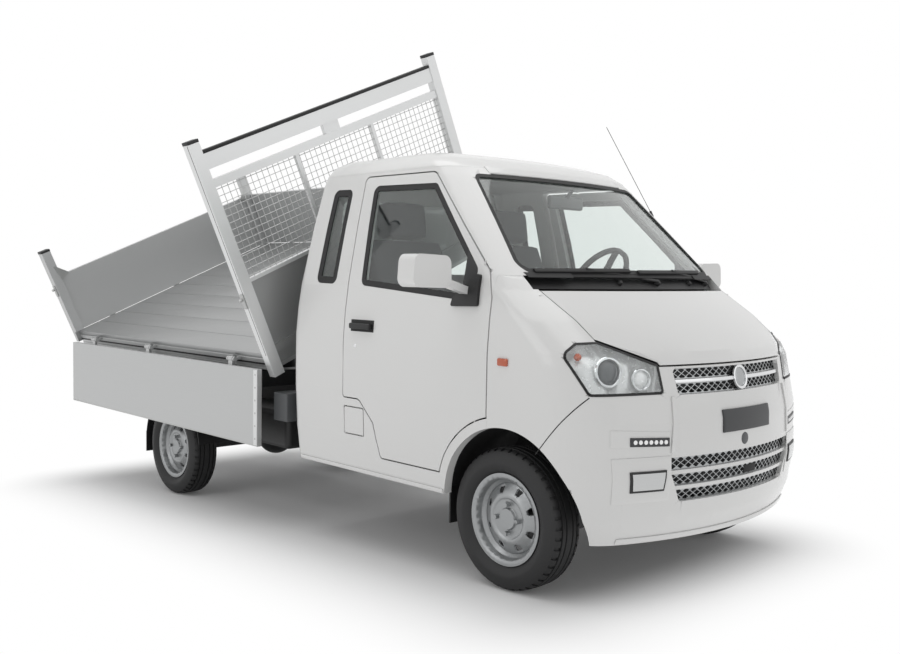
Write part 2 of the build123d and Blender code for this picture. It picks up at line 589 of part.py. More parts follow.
def running_gear():
    """Frame, engine, axles, springs, shafts and the units hung on the frame."""
    out = {}
    rail = polygon(((440, 282), (440, RAIL_TOP), (-1405, RAIL_TOP), (-1640, 560), (-3740, 560), (-3740, 470),
                    (-1610, 470), (-1390, 282)))
    frame = [side_prism(rail, s * 330, s * 390) for s in (-1, 1)]
    for x0, x1, z0, z1 in ((380, 430, 290, 350), (-330, -270, 286, 346), (-1720, -1670, 480, 550),
                           (-2060, -2010, 480, 550), (-3150, -3100, 480, 550), (-3735, -3690, 480, 550)):
        frame.append(block(x0, x1, -332, 332, z0, z1))
    beam = frame[0]
    for piece in frame[1:]:
        beam = beam + piece
    out["chassis_frame"] = beam
    engine = fillet(block(-1160, -520, -270, 270, 250, 600).edges(), 25)
    for x in (-1060, -640):
        engine = engine + block(x - 30, x + 30, -329.7, 329.7, 296, 340)
    out["engine_block"] = engine
    shaft = rod((-1166, 0, 296), (REAR_AXLE_X + 131, 0, REAR_AXLE_Z + 14), 30)
    out["propshaft"] = shaft + rod((-1161, 0, 296), (REAR_AXLE_X + 127.6, 0, REAR_AXLE_Z + 14), 9)

    axle = rod((REAR_AXLE_X, -588, REAR_AXLE_Z), (REAR_AXLE_X, 588, REAR_AXLE_Z), 36)
    axle = axle + Pos(REAR_AXLE_X, 0, REAR_AXLE_Z) * Sphere(118)
    axle = axle + rod((REAR_AXLE_X + 60, 0, REAR_AXLE_Z + 6), (REAR_AXLE_X + 127, 0, REAR_AXLE_Z + 14), 46)
    for s in (-1, 1):
        hub = REAR_TRACK / 2 + 21.7
        axle = axle + rod((REAR_AXLE_X, s * 560, REAR_AXLE_Z), (REAR_AXLE_X, s * 620, REAR_AXLE_Z), 118)
        axle = axle + rod((REAR_AXLE_X, s * 610, REAR_AXLE_Z), (REAR_AXLE_X, s * hub, REAR_AXLE_Z), 34)
    out["rear_axle"] = axle

    low = REAR_AXLE_Z + 36.4
    springs = []
    for s in (-1, 1):
        leaf = make_face(Curve() + [
            ThreePointArc((REAR_AXLE_X + 560, 424), (REAR_AXLE_X, low), (REAR_AXLE_X - 560, 424)),
            Line((REAR_AXLE_X - 560, 424), (REAR_AXLE_X - 560, 446)),
            ThreePointArc((REAR_AXLE_X - 560, 446), (REAR_AXLE_X, low + 42), (REAR_AXLE_X + 560, 446)),
            Line((REAR_AXLE_X + 560, 446), (REAR_AXLE_X + 560, 424))])
        spring = side_prism(leaf, s * 330, s * 390)
        for x in (REAR_AXLE_X + 540, REAR_AXLE_X - 540):
            spring = spring + block(x - 22, x + 22, s * 322, s * 398, 410, 469.6)
        springs.append(spring)
    out["leaf_springs"] = springs

    cross = block(-70, 70, -392, 392, 196, 281.6)
    for s in (-1, 1):
        cross = cross + bar((0, s * 360, 240), (0, s * KINGPIN_Y, 196), 56, 26)
        cross = cross + rod((0, s * KINGPIN_Y, 184), (0, s * KINGPIN_Y, 238), 11)
        cross = cross + rod((0, s * 492, 214), (-10, s * 486, 640), 26)
        cross = cross + rod((-2, s * 491, 400), (-9, s * 487, 620), 44)
    out["front_suspension"] = cross

    tank = fillet(block(-2300, -1560, -690, -420, 330, 520).edges(), 30)
    for x in (-2100, -1700):
        tank = tank + block(x, x + 40, -421, -390.3, 475, 505)
    out["fuel_tank"] = tank
    box = fillet(block(-1535, -1418, -790, -420, 500, 640).edges(), 6)
    out["power_pack"] = box + block(-1530, -1440, -421, -390.3, 575, 625)
    pipe = rod((-2260, 520, 400), (-1830, 520, 400), 82) + rod((-3690, 520, 430), (-2200, 520, 400), 22)
    pipe = pipe + block(-2060, -2020, 390.3, 470, 475, 505) + block(-2060, -2020, 450, 480, 440, 505)
    out["exhaust"] = pipe
    return out


def mud_guards():
    """Curved guards over the rear wheels and flaps behind all four."""
    out = []
    for s in (-1, 1):
        band = Pos(REAR_AXLE_X, REAR_AXLE_Z) * (Circle(334) - Circle(328))
        keep = polygon(((REAR_AXLE_X - 400, 212), (REAR_AXLE_X + 400, 250), (REAR_AXLE_X + 400, 700),
                        (REAR_AXLE_X - 400, 700)))
        guard = side_prism(band & keep, s * 572, s * 728)
        flap = block(REAR_AXLE_X - 334, REAR_AXLE_X - 326, s * 572, s * 728, 120, 246)
        stay = block(REAR_AXLE_X - 12, REAR_AXLE_X + 12, s * 390.3, s * 600, 512, 524)
        out.append(guard + flap + stay)
        out.append(block(-334, -326, s * 580, s * 704, 200, RAIL_TOP))
    return out


def subframe():
    """Tipper frame on the chassis with pivot brackets at its corners and the cylinder's cradle."""
    out = None
    for s in (-1, 1):
        tube = block(-3735, -1425, s * 330, s * 390, 560.4, 640)
        out = tube if out is None else out + tube
    for x in PIVOT_X:
        out = out + block(x - 55, x + 55, -722, 722, 639, 721)
        for s in (-1, 1):
            for dx in (-34, 34):
                plate = block(x + dx - 7, x + dx + 7, s * 700 - 24, s * 700 + 24, 715, PIVOT_Z)
                cap = rod((x + dx - 7, s * 700, PIVOT_Z), (x + dx + 7, s * 700, PIVOT_Z), 24)
                out = out + plate + cap
            out = out + rod((x - 41, s * 700, PIVOT_Z), (x + 41, s * 700, PIVOT_Z), 14)
    for s in (-1, 1):
        out = out + block(CYL_X + s * 92, CYL_X + s * 136, -332, 332, 562, 638)
        cheek = block(CYL_X + s * 78, CYL_X + s * 94, -60, 60, CYL_FOOT_Z - 40, 638)
        out = out + (cheek - rod((CYL_X + s * 70, 0, CYL_FOOT_Z), (CYL_X + s * 140, 0, CYL_FOOT_Z), 18.6))
    out = out + block(-3735, -3700, -740, 740, 640, 690)
    return out


def cylinder(part):
    """Telescopic cylinder along Z from its foot pin; all stages as drawn out at rest."""
    if part == "barrel":
        tube = Pos(0, 0, 127.5) * Cylinder(BARREL_RADIUS, 315) + rod((-92, 0, 0), (92, 0, 0), 18)
        return tube - Pos(0, 0, 172) * Cylinder(STAGE_RADIUS + 0.5, 324)
    if part == "stage":
        sleeve = Cylinder(STAGE_RADIUS, 270) - Cylinder(RAM_RADIUS + 0.5, 280)
        return Pos(0, 0, 25 + CYL_DRAWN / 2 + 135) * sleeve
    top = CYL_SHUT + CYL_DRAWN
    ram = Pos(0, 0, top - 152) * Cylinder(RAM_RADIUS, 276) + rod((-30, 0, top), (30, 0, top), 26)
    return ram + rod((-90, 0, top), (90, 0, top), 12)


def along_cylinder(shape):
    """Stand the cylinder on its foot pin, leaning towards the tipped bed's pin."""
    return stood(Pos(CYL_X, 0, CYL_FOOT_Z) * Rot(CYL_LEAN, 0, 0) * shape)


def bed_pieces():
    """Load floor, its frame, headboard, mesh and rear posts, in the lowered bed."""
    out = {}
    under = FLOOR_Z - FLOOR_THICK
    floor = block(BED_REAR, BED_FRONT, -BED_HALF, BED_HALF, under, FLOOR_Z)
    for s in (-1, 1):
        corner = HEAD_HALF - POST_WIDE / 2 - 0.6
        floor = floor - block(BED_REAR - 1, BED_REAR + 24.6, s * corner, s * (BED_HALF + 1), under - 1, FLOOR_Z + 1)
    out["bed_floor"] = floor

    frame = None
    for s in (-1, 1):
        for y0, y1, z0 in ((BED_HALF - 42, BED_HALF, under - 66), (330, 390, 726)):
            rail = block(BED_REAR, BED_FRONT, s * y0, s * y1, z0, under - 0.3)
            frame = rail if frame is None else frame + rail
    for x in CROSS_X:
        frame = frame + block(x - 25, x + 25, -BED_HALF + 40, BED_HALF - 40, under - 40, under - 0.3)
    frame = frame + block(BED_REAR, BED_REAR + 40, -BED_HALF, BED_HALF, under - 66, under - 0.3)
    frame = frame + block(BED_FRONT - 40, BED_FRONT, -BED_HALF, BED_HALF, under - 66, under - 0.3)
    for x in PIVOT_X:
        for s in (-1, 1):
            frame = frame - block(x - 60, x + 60, s * 660, s * 735, 640, PIVOT_Z + 31)
            lug = block(x - 22, x + 22, s * 700 - 26, s * 700 + 26, PIVOT_Z, under - 0.3)
            lug = lug + rod((x - 22, s * 700, PIVOT_Z), (x + 22, s * 700, PIVOT_Z), 26)
            frame = frame + lug
            frame = frame - rod((x - 60, s * 700, PIVOT_Z), (x + 60, s * 700, PIVOT_Z), 14.6)
            if s > 0:
                frame = frame - block(x - 60, x + 60, 700 - 14.6, 700 + 14.6, PIVOT_Z - 40, PIVOT_Z)
    for s in (-1, 1):
        plate = block(CYL_X + s * 64, CYL_X + s * 78, -70, 70, CYL_HEAD_Z - 55, under - 0.3)
        frame = frame + (plate - rod((CYL_X - 100, 0, CYL_HEAD_Z), (CYL_X + 100, 0, CYL_HEAD_Z), 29))
        frame = frame + block(CYL_X + s * 64, CYL_X + s * 78, -332, 332, under - 40, under - 0.3)
    frame = frame - Pos(CYL_X, 0, CYL_HEAD_Z) * Rot(0, 90, 0) * Cylinder(29, 200)
    for s in (-1, 1):
        for x in HINGES:
            for dx in (-30, 30):
                ear = block(x + dx - 6, x + dx + 6, s * (BED_HALF - 2), s * BOARD_PIN_Y, BOARD_PIN_Z - 10,
                            under - 0.5)
                frame = frame + ear + rod((x + dx - 6, s * BOARD_PIN_Y, BOARD_PIN_Z),
                                          (x + dx + 6, s * BOARD_PIN_Y, BOARD_PIN_Z), 12)
            frame = frame + rod((x - 33, s * BOARD_PIN_Y, BOARD_PIN_Z),
                                (x + 33, s * BOARD_PIN_Y, BOARD_PIN_Z), 7)
    for y in GATE_HINGES:
        for dy in (-30, 30):
            ear = block(BED_PIN_X, BED_REAR + 2, y + dy - 6, y + dy + 6, BOARD_PIN_Z - 10, under - 0.5)
            frame = frame + ear + rod((BED_PIN_X, y + dy - 6, BOARD_PIN_Z),
                                      (BED_PIN_X, y + dy + 6, BOARD_PIN_Z), 12)
        frame = frame + rod((BED_PIN_X, y - 33, BOARD_PIN_Z), (BED_PIN_X, y + 33, BOARD_PIN_Z), 7)
    out["bed_frame"] = frame

    x0, x1 = BED_FRONT + 0.4, BED_FRONT + POST_DEEP
    inside = HEAD_HALF - POST_WIDE / 2
    outside = inside + POST_WIDE
    head = block(x0 + 18, x1 - 18, -inside - 1, inside + 1, FLOOR_Z - 60, FLOOR_Z + 380)
    for s in (-1, 1):
        head = head + block(x0, x1, s * inside, s * outside, FLOOR_Z - 110, FLOOR_Z + HEAD_HEIGHT)
        head = head + block(x0 + 15, x1 - 15, s * 248, s * 268, FLOOR_Z + 379, FLOOR_Z + 860)
    for z0, z1, trim in ((0, 40, 4), (376, 394, 10), (858, 897, 6), (947, 1022, 4)):
        head = head + block(x0 + trim, x1 - trim, -inside - 1, inside + 1, FLOOR_Z + z0, FLOOR_Z + z1)
    head = head + block(x0 + 12, x1 - 12, -50, 50, FLOOR_Z + 890, FLOOR_Z + 950)
    out["headboard"] = head

    wires = []
    for y0, y1 in ((-inside + 1, -269), (-247, 247), (269, inside - 1)):
        wide, high = y1 - y0, 858 - 394 - 1.0
        columns, rows = round(wide / NET_PITCH), round(high / NET_PITCH)
        sheet = Rectangle(wide, high)
        cell_y, cell_z = wide / columns, high / rows
        holes = GridLocations(cell_y, cell_z, columns, rows)
        sheet = sheet - [place * Rectangle(cell_y - NET_WIRE, cell_z - NET_WIRE) for place in holes]
        middle = (x0 + x1) / 2
        sheet = Pos((y0 + y1) / 2, FLOOR_Z + 626) * sheet
        wires.append(front_prism(sheet, middle - NET_WIRE / 2, middle + NET_WIRE / 2))
    out["headboard_mesh"] = wires

    posts = []
    for s in (-1, 1):
        top = FLOOR_Z + REAR_POST_HEIGHT
        post = block(BED_REAR - 34, BED_REAR - 0.4, s * inside, s * outside, FLOOR_Z - 70, top)
        post = post + block(BED_REAR - 0.6, BED_REAR + 24, s * inside, s * outside, FLOOR_Z + 0.4, top)
        posts.append(post)
    out["rear_posts"] = posts
    return out


def side_board():
    """Right side board, shut: a hollow plank with three hinge straps on its outer face."""
    x0, x1 = BED_REAR + 30, BED_FRONT - 6
    y = BED_HALF + 5
    board = block(x0, x1, -y - BOARD_THICK, -y, FLOOR_Z + 1, FLOOR_Z + BOARD_HEIGHT)
    for x in HINGES:
        board = board + block(x - 20, x + 20, -BOARD_PIN_Y - 7, -BOARD_PIN_Y + 9, BOARD_PIN_Z, FLOOR_Z + 70)
        board = board + rod((x - 20, -BOARD_PIN_Y, BOARD_PIN_Z), (x + 20, -BOARD_PIN_Y, BOARD_PIN_Z), 13)
        board = board - rod((x - 40, -BOARD_PIN_Y, BOARD_PIN_Z), (x + 40, -BOARD_PIN_Y, BOARD_PIN_Z), 7.8)
    return board


def tailgate():
    """Tailgate, shut: a hollow plank between the rear posts, hinged along its foot."""
    half = HEAD_HALF - POST_WIDE / 2 - 6
    x = BED_REAR - 5
    board = block(x - BOARD_THICK, x, -half, half, FLOOR_Z + 1, FLOOR_Z + BOARD_HEIGHT)
    for y in GATE_HINGES:
        board = board + block(BED_PIN_X - 7, BED_PIN_X + 9, y - 20, y + 20, BOARD_PIN_Z, FLOOR_Z + 70)
        board = board + rod((BED_PIN_X, y - 20, BOARD_PIN_Z), (BED_PIN_X, y + 20, BOARD_PIN_Z), 13)
        board = board - rod((BED_PIN_X, y - 40, BOARD_PIN_Z), (BED_PIN_X, y + 40, BOARD_PIN_Z), 7.8)
    return board


def opened(shape):
    """Right side board swung down about its hinge pins until it hangs."""
    return shape.rotate(Axis((0, -BOARD_PIN_Y, BOARD_PIN_Z), (1, 0, 0)), BOARD_OPEN)


def knuckle():
    """Left front knuckle: upright on the kingpin with brake drum and stub axle."""
    y = KINGPIN_Y
    post = block(-34, 34, y - 22, y + 22, 217.0, TYRE_RADIUS + 70)
    drum = rod((0, y - 24, TYRE_RADIUS), (0, y + 20, TYRE_RADIUS), 64)
    stub = rod((0, y, TYRE_RADIUS), (0, FRONT_TRACK / 2 + 21.7, TYRE_RADIUS), 34)
    arm = bar((0, y - 10, 262), (150, y - 60, 262), 24, 20)
    return (post + drum + stub + arm) - rod((0, y, 100), (0, y, 242), 11.8)


def all_nodes():
    """Every node by name, each a list of solids standing as in the photograph."""
    nodes = {}
    cab = cab_pieces()
    layers = cab.pop("layers")
    inside = cab_inside(layers)
    gear = running_gear()
    bed = bed_pieces()

    for name in ("cab_roof", "cab_back", "front_bumper", "cowl", "hood", "grille"):
        nodes[name] = cab[name]
    for name, source in (("cab_sides", "side_right"), ("fenders", "fender_right"),
                         ("headlamps", "headlamp_right")):
        nodes[name] = [cab[source], mirrored(cab[source])]
    nodes["windshield"] = cab["windshield"]
    nodes["cab_glass"] = [cab["rear_glass"], cab["quarter_glass"], mirrored(cab["quarter_glass"])]
    small = [cab["fog_right"], cab["strip_right"]]
    nodes["small_lamps"] = small + [mirrored(lamp) for lamp in small]
    flap = (layers["outer"] & side_prism(polygon(FUEL_FLAP, 8.0), -1000, -420)) - layers["skin"]
    hole = side_prism(offset(polygon(FUEL_FLAP, 2.0), amount=GAP), -1000, -420)
    side = nodes["cab_sides"][0] - (hole - layers["pocket"])
    x, y = FLAP_AXIS
    low, high = FUEL_FLAP[0][1], FUEL_FLAP[2][1]
    for z0, z1 in ((low - 14, low + 16), (high - 16, high + 8)):
        side = side + rod((x, y, z0), (x, y, z1), HINGE_PIN)
        flap = flap - rod((x, y, z0 - 2), (x, y, z1 + 2), HINGE_PIN + HINGE_PLAY)
    nodes["cab_sides"][0] = side
    nodes["fuel_flap"] = flap
    for side, flip in (("right", False), ("left", True)):
        for name, shape in (("door_" + side, cab["door_right"]), ("door_glass_" + side, cab["door_glass"]),
                            ("mirror_" + side, right_mirror())):
            if name.startswith("mirror"):
                shape = shape - layers["outer"]
                shape = max(shape.solids(), key=lambda x: x.volume)
            nodes[name] = mirrored(shape) if flip else shape
    nodes.update(inside)
    nodes["steering_wheel"] = steering_wheel()
    nodes.update(gear)
    nodes["mud_guards"] = mud_guards()
    nodes["tipper_frame"] = subframe()
    nodes["tail_lamps"] = [block(-3758, -3735.4, s * 560, s * 720, 645, 685) for s in (-1, 1)]
    nodes["knuckle_left"] = knuckle()
    nodes["knuckle_right"] = mirrored(knuckle())
    rim = wheel_rim()
    ring = tyre()
    for name, x, y, z in WHEELS:
        nodes["rim_" + name] = at_wheel(rim, x, y, z)
        nodes["tyre_" + name] = at_wheel(ring, x, y, z)
    nodes = {name: [stood(s) for s in solids_of(shape)] for name, shape in nodes.items()}

    for name, shape in bed.items():
        nodes[name] = [tipped(s) for s in solids_of(shape)]
    board = side_board()
    nodes["side_board_right"] = [tipped(s) for s in solids_of(opened(board))]
    nodes["side_board_left"] = [tipped(s) for s in solids_of(mirrored(board))]
    nodes["tailgate"] = [tipped(s) for s in solids_of(tailgate())]
    for part in ("barrel", "stage", "ram"):
        nodes["cylinder_" + part] = [along_cylinder(s) for s in solids_of(cylinder(part))]
    return nodes


def solids_of(shape):
    """All solids of a piece or of a list of pieces."""
    pieces = shape if isinstance(shape, list) else [shape]
    return [solid for piece in pieces for solid in piece.solids()]


if __name__ == "__main__":
    os.makedirs("parts", exist_ok=True)
    for name, solids in all_nodes().items():
        for solid in solids:
            solid.label = name
        export_step(solids[0] if len(solids) == 1 else Compound(children=solids), "parts/" + name + ".step")
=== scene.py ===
"""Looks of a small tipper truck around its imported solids: paint, glass, lamps, tyres, bed, studio."""
import json
import math

import bpy
from mathutils import Matrix, Vector
from mathutils.bvhtree import BVHTree

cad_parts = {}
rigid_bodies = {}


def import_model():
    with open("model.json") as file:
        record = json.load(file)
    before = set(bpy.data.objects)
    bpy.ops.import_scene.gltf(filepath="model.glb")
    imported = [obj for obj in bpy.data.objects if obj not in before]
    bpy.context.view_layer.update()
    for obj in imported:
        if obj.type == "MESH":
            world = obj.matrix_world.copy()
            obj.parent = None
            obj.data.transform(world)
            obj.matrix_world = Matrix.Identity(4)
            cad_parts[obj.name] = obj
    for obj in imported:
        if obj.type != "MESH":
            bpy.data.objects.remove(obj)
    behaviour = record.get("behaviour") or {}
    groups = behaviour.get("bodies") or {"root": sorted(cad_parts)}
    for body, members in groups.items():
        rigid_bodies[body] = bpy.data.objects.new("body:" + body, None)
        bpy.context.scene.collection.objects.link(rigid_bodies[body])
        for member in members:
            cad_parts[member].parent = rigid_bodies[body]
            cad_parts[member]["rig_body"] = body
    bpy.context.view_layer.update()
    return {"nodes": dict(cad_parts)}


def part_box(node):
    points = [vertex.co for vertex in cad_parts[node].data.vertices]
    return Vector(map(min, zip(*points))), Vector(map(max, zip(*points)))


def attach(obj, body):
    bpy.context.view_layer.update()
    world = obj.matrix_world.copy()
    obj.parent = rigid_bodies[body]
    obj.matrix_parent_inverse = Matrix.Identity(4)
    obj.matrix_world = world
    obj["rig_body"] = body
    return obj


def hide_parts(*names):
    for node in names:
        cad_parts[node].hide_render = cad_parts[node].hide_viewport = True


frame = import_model()
nodes = frame["nodes"]

# Pieces are drawn in millimetres on the level truck, whose zero is under the front axle
MM = 0.001
CORNERS = ("front_left", "front_right", "rear_left", "rear_right")
AXLE_X = 1631.5
MIDDLE_Y = 109.5 * MM
TYRE_RADIUS = 280.5
FLOOR_Z = 869.0
BED_FRONT, BED_REAR, BED_HALF = -1557.0, -3870.0, 790.0
SCREEN_FOOT_Z, SCREEN_HEAD_Z = 1244.0, 1668.0
COWL_Z = 1208.0

# The level truck is then stood nose down, its bed tipped about the right pins and its right board hung
RAKE = math.radians(1.88)
TIP = math.radians(23.5)
TIP_PIN = (-700.0, 785.0)
BOARD_HINGE = (-825.0, 839.0)


def turned_about(line, axis, angle):
    """Turn about a line through a point of the level truck, along one of its axes."""
    centre = Matrix.Translation(Vector(line) * MM)
    return centre @ Matrix.Rotation(angle, 4, axis) @ centre.inverted()


STAND = Matrix.Translation((AXLE_X * MM, MIDDLE_Y, 0)) @ turned_about((0, 0, TYRE_RADIUS), "Y", RAKE)
TIPPED = STAND @ turned_about((0, *TIP_PIN), "X", TIP)
HANGING = TIPPED @ turned_about((0, *BOARD_HINGE), "X", math.pi - TIP)
MIRRORED = (Matrix.Translation((0, MIDDLE_Y, 0)) @ Matrix.Scale(-1, 4, (0, 1, 0))
            @ Matrix.Translation((0, -MIDDLE_Y, 0)))

# Plan sections of the cab: height, front at the middle, front radius, half width, front corner radius
CAB_SECTIONS = (
    (250.0, 566.0, 1500.0, 738.0, 250.0),
    (345.0, 604.0, 1500.0, 758.0, 250.0),
    (500.0, 624.0, 1500.0, 773.0, 250.0),
    (700.0, 619.0, 1500.0, 780.0, 245.0),
    (905.0, 577.0, 1500.0, 779.0, 240.0),
    (955.0, 530.0, 1700.0, 777.0, 235.0),
    (1070.0, 360.0, 2200.0, 768.0, 215.0),
    (1180.0, 172.0, 2600.0, 752.0, 170.0),
    (1236.0, 112.0, 2600.0, 740.0, 150.0),
    (1450.0, -106.0, 2500.0, 690.0, 135.0),
    (1660.0, -320.0, 2350.0, 635.0, 125.0),
    (1705.0, -370.0, 2300.0, 620.0, 122.0))


def cab_section(z):
    """Front, front radius, half width and corner radius of the cab at one height."""
    for low, high in zip(CAB_SECTIONS, CAB_SECTIONS[1:]):
        if z <= high[0]:
            share = (z - low[0]) / (high[0] - low[0])
            return [a + (b - a) * share for a, b in zip(low[1:], high[1:])]
    return CAB_SECTIONS[-1][1:]


def corner_centre(front, bow, half, corner):
    """Where the front corner's arc has its centre, along the truck."""
    return front - bow + math.sqrt((bow - corner) ** 2 - (half - corner) ** 2)


def nose(y, z, lift=0.0):
    """Point of the cab's front at a place seen from the front, raised off the panel."""
    front, bow, half, corner = cab_section(z)
    edge = (half - corner) * (bow / (bow - corner))
    if abs(y) <= edge:
        return front - bow + math.sqrt((bow + lift) ** 2 - y * y), y, z
    reach = abs(y) - (half - corner)
    depth = math.sqrt(max((corner + lift) ** 2 - reach * reach, 0.0))
    return corner_centre(front, bow, half, corner) + depth, y, z


def flank(x, z, lift=0.0):
    """Point of the cab's right side at a place seen from the side, raised off the panel."""
    front, bow, half, corner = cab_section(z)
    centre = corner_centre(front, bow, half, corner)
    if x <= centre:
        return x, -half - lift, z
    return x, -(half - corner) - math.sqrt(max((corner + lift) ** 2 - (x - centre) ** 2, 0.0)), z


def on_nose(lift):
    """Lays outline points on the cab's front at one height off the panel."""
    return lambda y, z: nose(y, z, lift)


def on_flank(lift):
    """Lays outline points on the cab's right side at one height off the panel."""
    return lambda x, z: flank(x, z, lift)


# Finishes

BROAD_MM = 340.0
WAVE_MM = 60.0


def linear(code):
    """sRGB hex colour as linear red, green, blue, one."""
    parts = [int(code[i:i + 2], 16) / 255 for i in (1, 3, 5)]
    return tuple(c / 12.92 if c <= 0.04045 else ((c + 0.055) / 1.055) ** 2.4 for c in parts) + (1.0,)


def add(tree, kind, sockets=None, links=None, **settings):
    """Adds one node, sets its properties and sockets and links its inputs."""
    new = tree.nodes.new(kind)
    for key, value in settings.items():
        setattr(new, key, value)
    for key, value in (sockets or {}).items():
        new.inputs[key].default_value = value
    for key, source in (links or {}).items():
        tree.links.new(source, new.inputs[key])
    return new


def finish(name, code, rough, metallic=0.0, grain_mm=4.0, grain=0.06, rough_swing=0.06, shade=0.03,
           stretch=(1, 1, 1), **sockets):
    """A surface with fine grain in height and gloss and a broad drift in colour; grain_mm is a real size."""
    material = bpy.data.materials.new(name)
    material.use_nodes = True
    tree = material.node_tree
    shader = tree.nodes["Principled BSDF"]
    for key, value in sockets.items():
        shader.inputs[key.replace("_", " ")].default_value = value
    shader.inputs["Metallic"].default_value = metallic
    place = add(tree, "ShaderNodeTexCoord")
    drawn = add(tree, "ShaderNodeMapping", {"Scale": stretch}, {"Vector": place.outputs["Object"]})
    fine = add(tree, "ShaderNodeTexNoise", {"Scale": 1000.0 / grain_mm, "Detail": 3.0},
               {"Vector": drawn.outputs[0]})
    broad = add(tree, "ShaderNodeTexNoise", {"Scale": 1000.0 / BROAD_MM, "Detail": 2.0},
                {"Vector": drawn.outputs[0]})
    gloss = add(tree, "ShaderNodeMapRange",
                {"To Min": max(rough - rough_swing, 0.02), "To Max": rough + rough_swing},
                {"Value": fine.outputs["Fac"]})
    tree.links.new(gloss.outputs[0], shader.inputs["Roughness"])
    low = tuple(c * (1 - shade) for c in linear(code)[:3]) + (1.0,)
    high = tuple(min(c * (1 + shade), 1.0) for c in linear(code)[:3]) + (1.0,)
    tone = add(tree, "ShaderNodeMix", None, {"Factor": broad.outputs["Fac"]}, data_type="RGBA")
    tone.inputs["A"].default_value = low
    tone.inputs["B"].default_value = high
    tree.links.new(tone.outputs["Result"], shader.inputs["Base Color"])
    bump = add(tree, "ShaderNodeBump", {"Strength": grain, "Distance": MM}, {"Height": fine.outputs["Fac"]})
    tree.links.new(bump.outputs[0], shader.inputs["Normal"])
    return material


# Sprayed and baked enamel: smooth and clear-coated, with a trace of orange peel about 3 mm across
enamel = finish("white_enamel", "#D6D6D5", 0.3, grain_mm=3.0, grain=0.012, rough_swing=0.02, shade=0.006,
                Coat_Weight=0.5, Coat_Roughness=0.08)
# Moulded polypropylene: dull, with a leather-like grain about 1 mm wide, drawn at 2 mm so that it shows
moulded_black = finish("moulded_black_plastic", "#141415", 0.5, grain_mm=2.0, grain=0.25)
# Extruded rubber: dull black with a faint skin
trim_rubber = finish("extruded_trim_rubber", "#0D0D0E", 0.62, grain_mm=2.5, grain=0.1)
# Chassis enamel over rough rolled steel: half-dull, with a coarse skin
chassis_black = finish("chassis_black_enamel", "#242526", 0.45, grain_mm=8.0, grain=0.15)
# Rolled and anodised aluminium: satin, with long fine lines in the rolling direction, 3 mm apart
anodised = finish("anodised_aluminium", "#BBBCBC", 0.42, 0.7, grain_mm=3.0, grain=0.05, rough_swing=0.08,
                  stretch=(0.02, 1, 1), shade=0.02)
# Extruded posts: brighter than the rolled boards, with lines along their height
bright_aluminium = finish("extruded_bright_aluminium", "#D9DADA", 0.36, 0.6, grain_mm=3.0, grain=0.04,
                          rough_swing=0.06, stretch=(1, 1, 0.02), shade=0.02)
# Rolled floor and headboard sheet: greyer and more mirror-like, with lines 4 mm apart; the grey is partly
# painted shade, for the headboard's lower sheet, which faces away from the light
sheet_aluminium_partly_painted_shade = finish("rolled_aluminium_sheet", "#A3A4A4", 0.42, 0.8, grain_mm=4.0, grain=0.05,
                         rough_swing=0.08, stretch=(0.02, 1, 1), shade=0.03)
# Zinc plate over steel: bright, with uneven gloss
zinc_plate = finish("zinc_plated_steel", "#B4B5B4", 0.34, 0.9, grain_mm=6.0, grain=0.08, rough_swing=0.1)
# Silver-sprayed pressed steel: satin, with a fine metallic grain
wheel_silver = finish("silver_wheel_paint", "#9C9E9F", 0.34, 0.7, grain_mm=2.0, grain=0.05)
# Silvered grille moulding: softer and darker than chrome
grille_silver = finish("silvered_grille_plastic", "#A6A8A9", 0.22, 0.85, grain_mm=3.0, grain=0.03)
# Chrome plate: an almost clean mirror
chrome = finish("chrome_plate", "#D9DADB", 0.1, 1.0, grain_mm=5.0, grain=0.0, rough_swing=0.03, shade=0.01)
# Painted shade: a flat, nearly black finish put in slots, recesses and gaps where little light reaches; it
# also draws the dark line of a panel seam
shade_and_seam_black = finish("painted_shade_and_seam_black", "#0E0E0F", 0.7, grain_mm=5.0)
# Vulcanised rubber: matte and slightly dusty
tyre_rubber = finish("tyre_rubber", "#1B1B1C", 0.62, grain_mm=3.0, grain=0.12, rough_swing=0.1, shade=0.12)
# Soft moulded dash skin: grey and grained, with hardly any gloss
dash_grey = finish("soft_grey_dash_plastic", "#5A5B5C", 0.6, grain_mm=2.0, grain=0.2)
# Woven seat cloth: no gloss, a soft sheen, threads drawn 4 mm apart so that they show
seat_cloth = finish("woven_seat_cloth", "#5C5D60", 0.85, grain_mm=4.0, grain=0.5, shade=0.1,
                    Sheen_Weight=0.25)
# Vacuum-silvered plastic: pale and softly bright
lamp_silver = finish("vacuum_silvered_reflector", "#F2F2F2", 0.26, 0.3, grain_mm=14.0, grain=0.04)
# Dark glass of the projector: a deep gloss with no grain
projector_glass = finish("projector_lens_glass", "#4B4E51", 0.06, grain_mm=8.0, grain=0.0, Coat_Weight=1.0)
# Dyed acrylic lamp plastics: deep colour under a gloss
amber = finish("amber_lamp_plastic", "#B4502A", 0.2, grain_mm=4.0, grain=0.05, Coat_Weight=0.6)
red_lamp = finish("red_lamp_plastic", "#8E1414", 0.2, grain_mm=6.0, grain=0.1, Coat_Weight=0.6)
# Moulded clear plastic over a silvered back: upright flutes 14 mm apart
fog_clear = finish("fluted_clear_lamp_plastic", "#C4C5C5", 0.16, 0.5, grain_mm=14.0, grain=0.5,
                   stretch=(1, 1, 0.05))
# Bare moulded plate holder: dark satin plastic
plate_grey = finish("bare_plate_holder_plastic", "#2F3032", 0.42, grain_mm=2.0, grain=0.08)
# Grey-painted sheet steel: even and half-dull
pump_grey = finish("grey_painted_steel_box", "#4A4C4E", 0.4, 0.1, grain_mm=4.0)


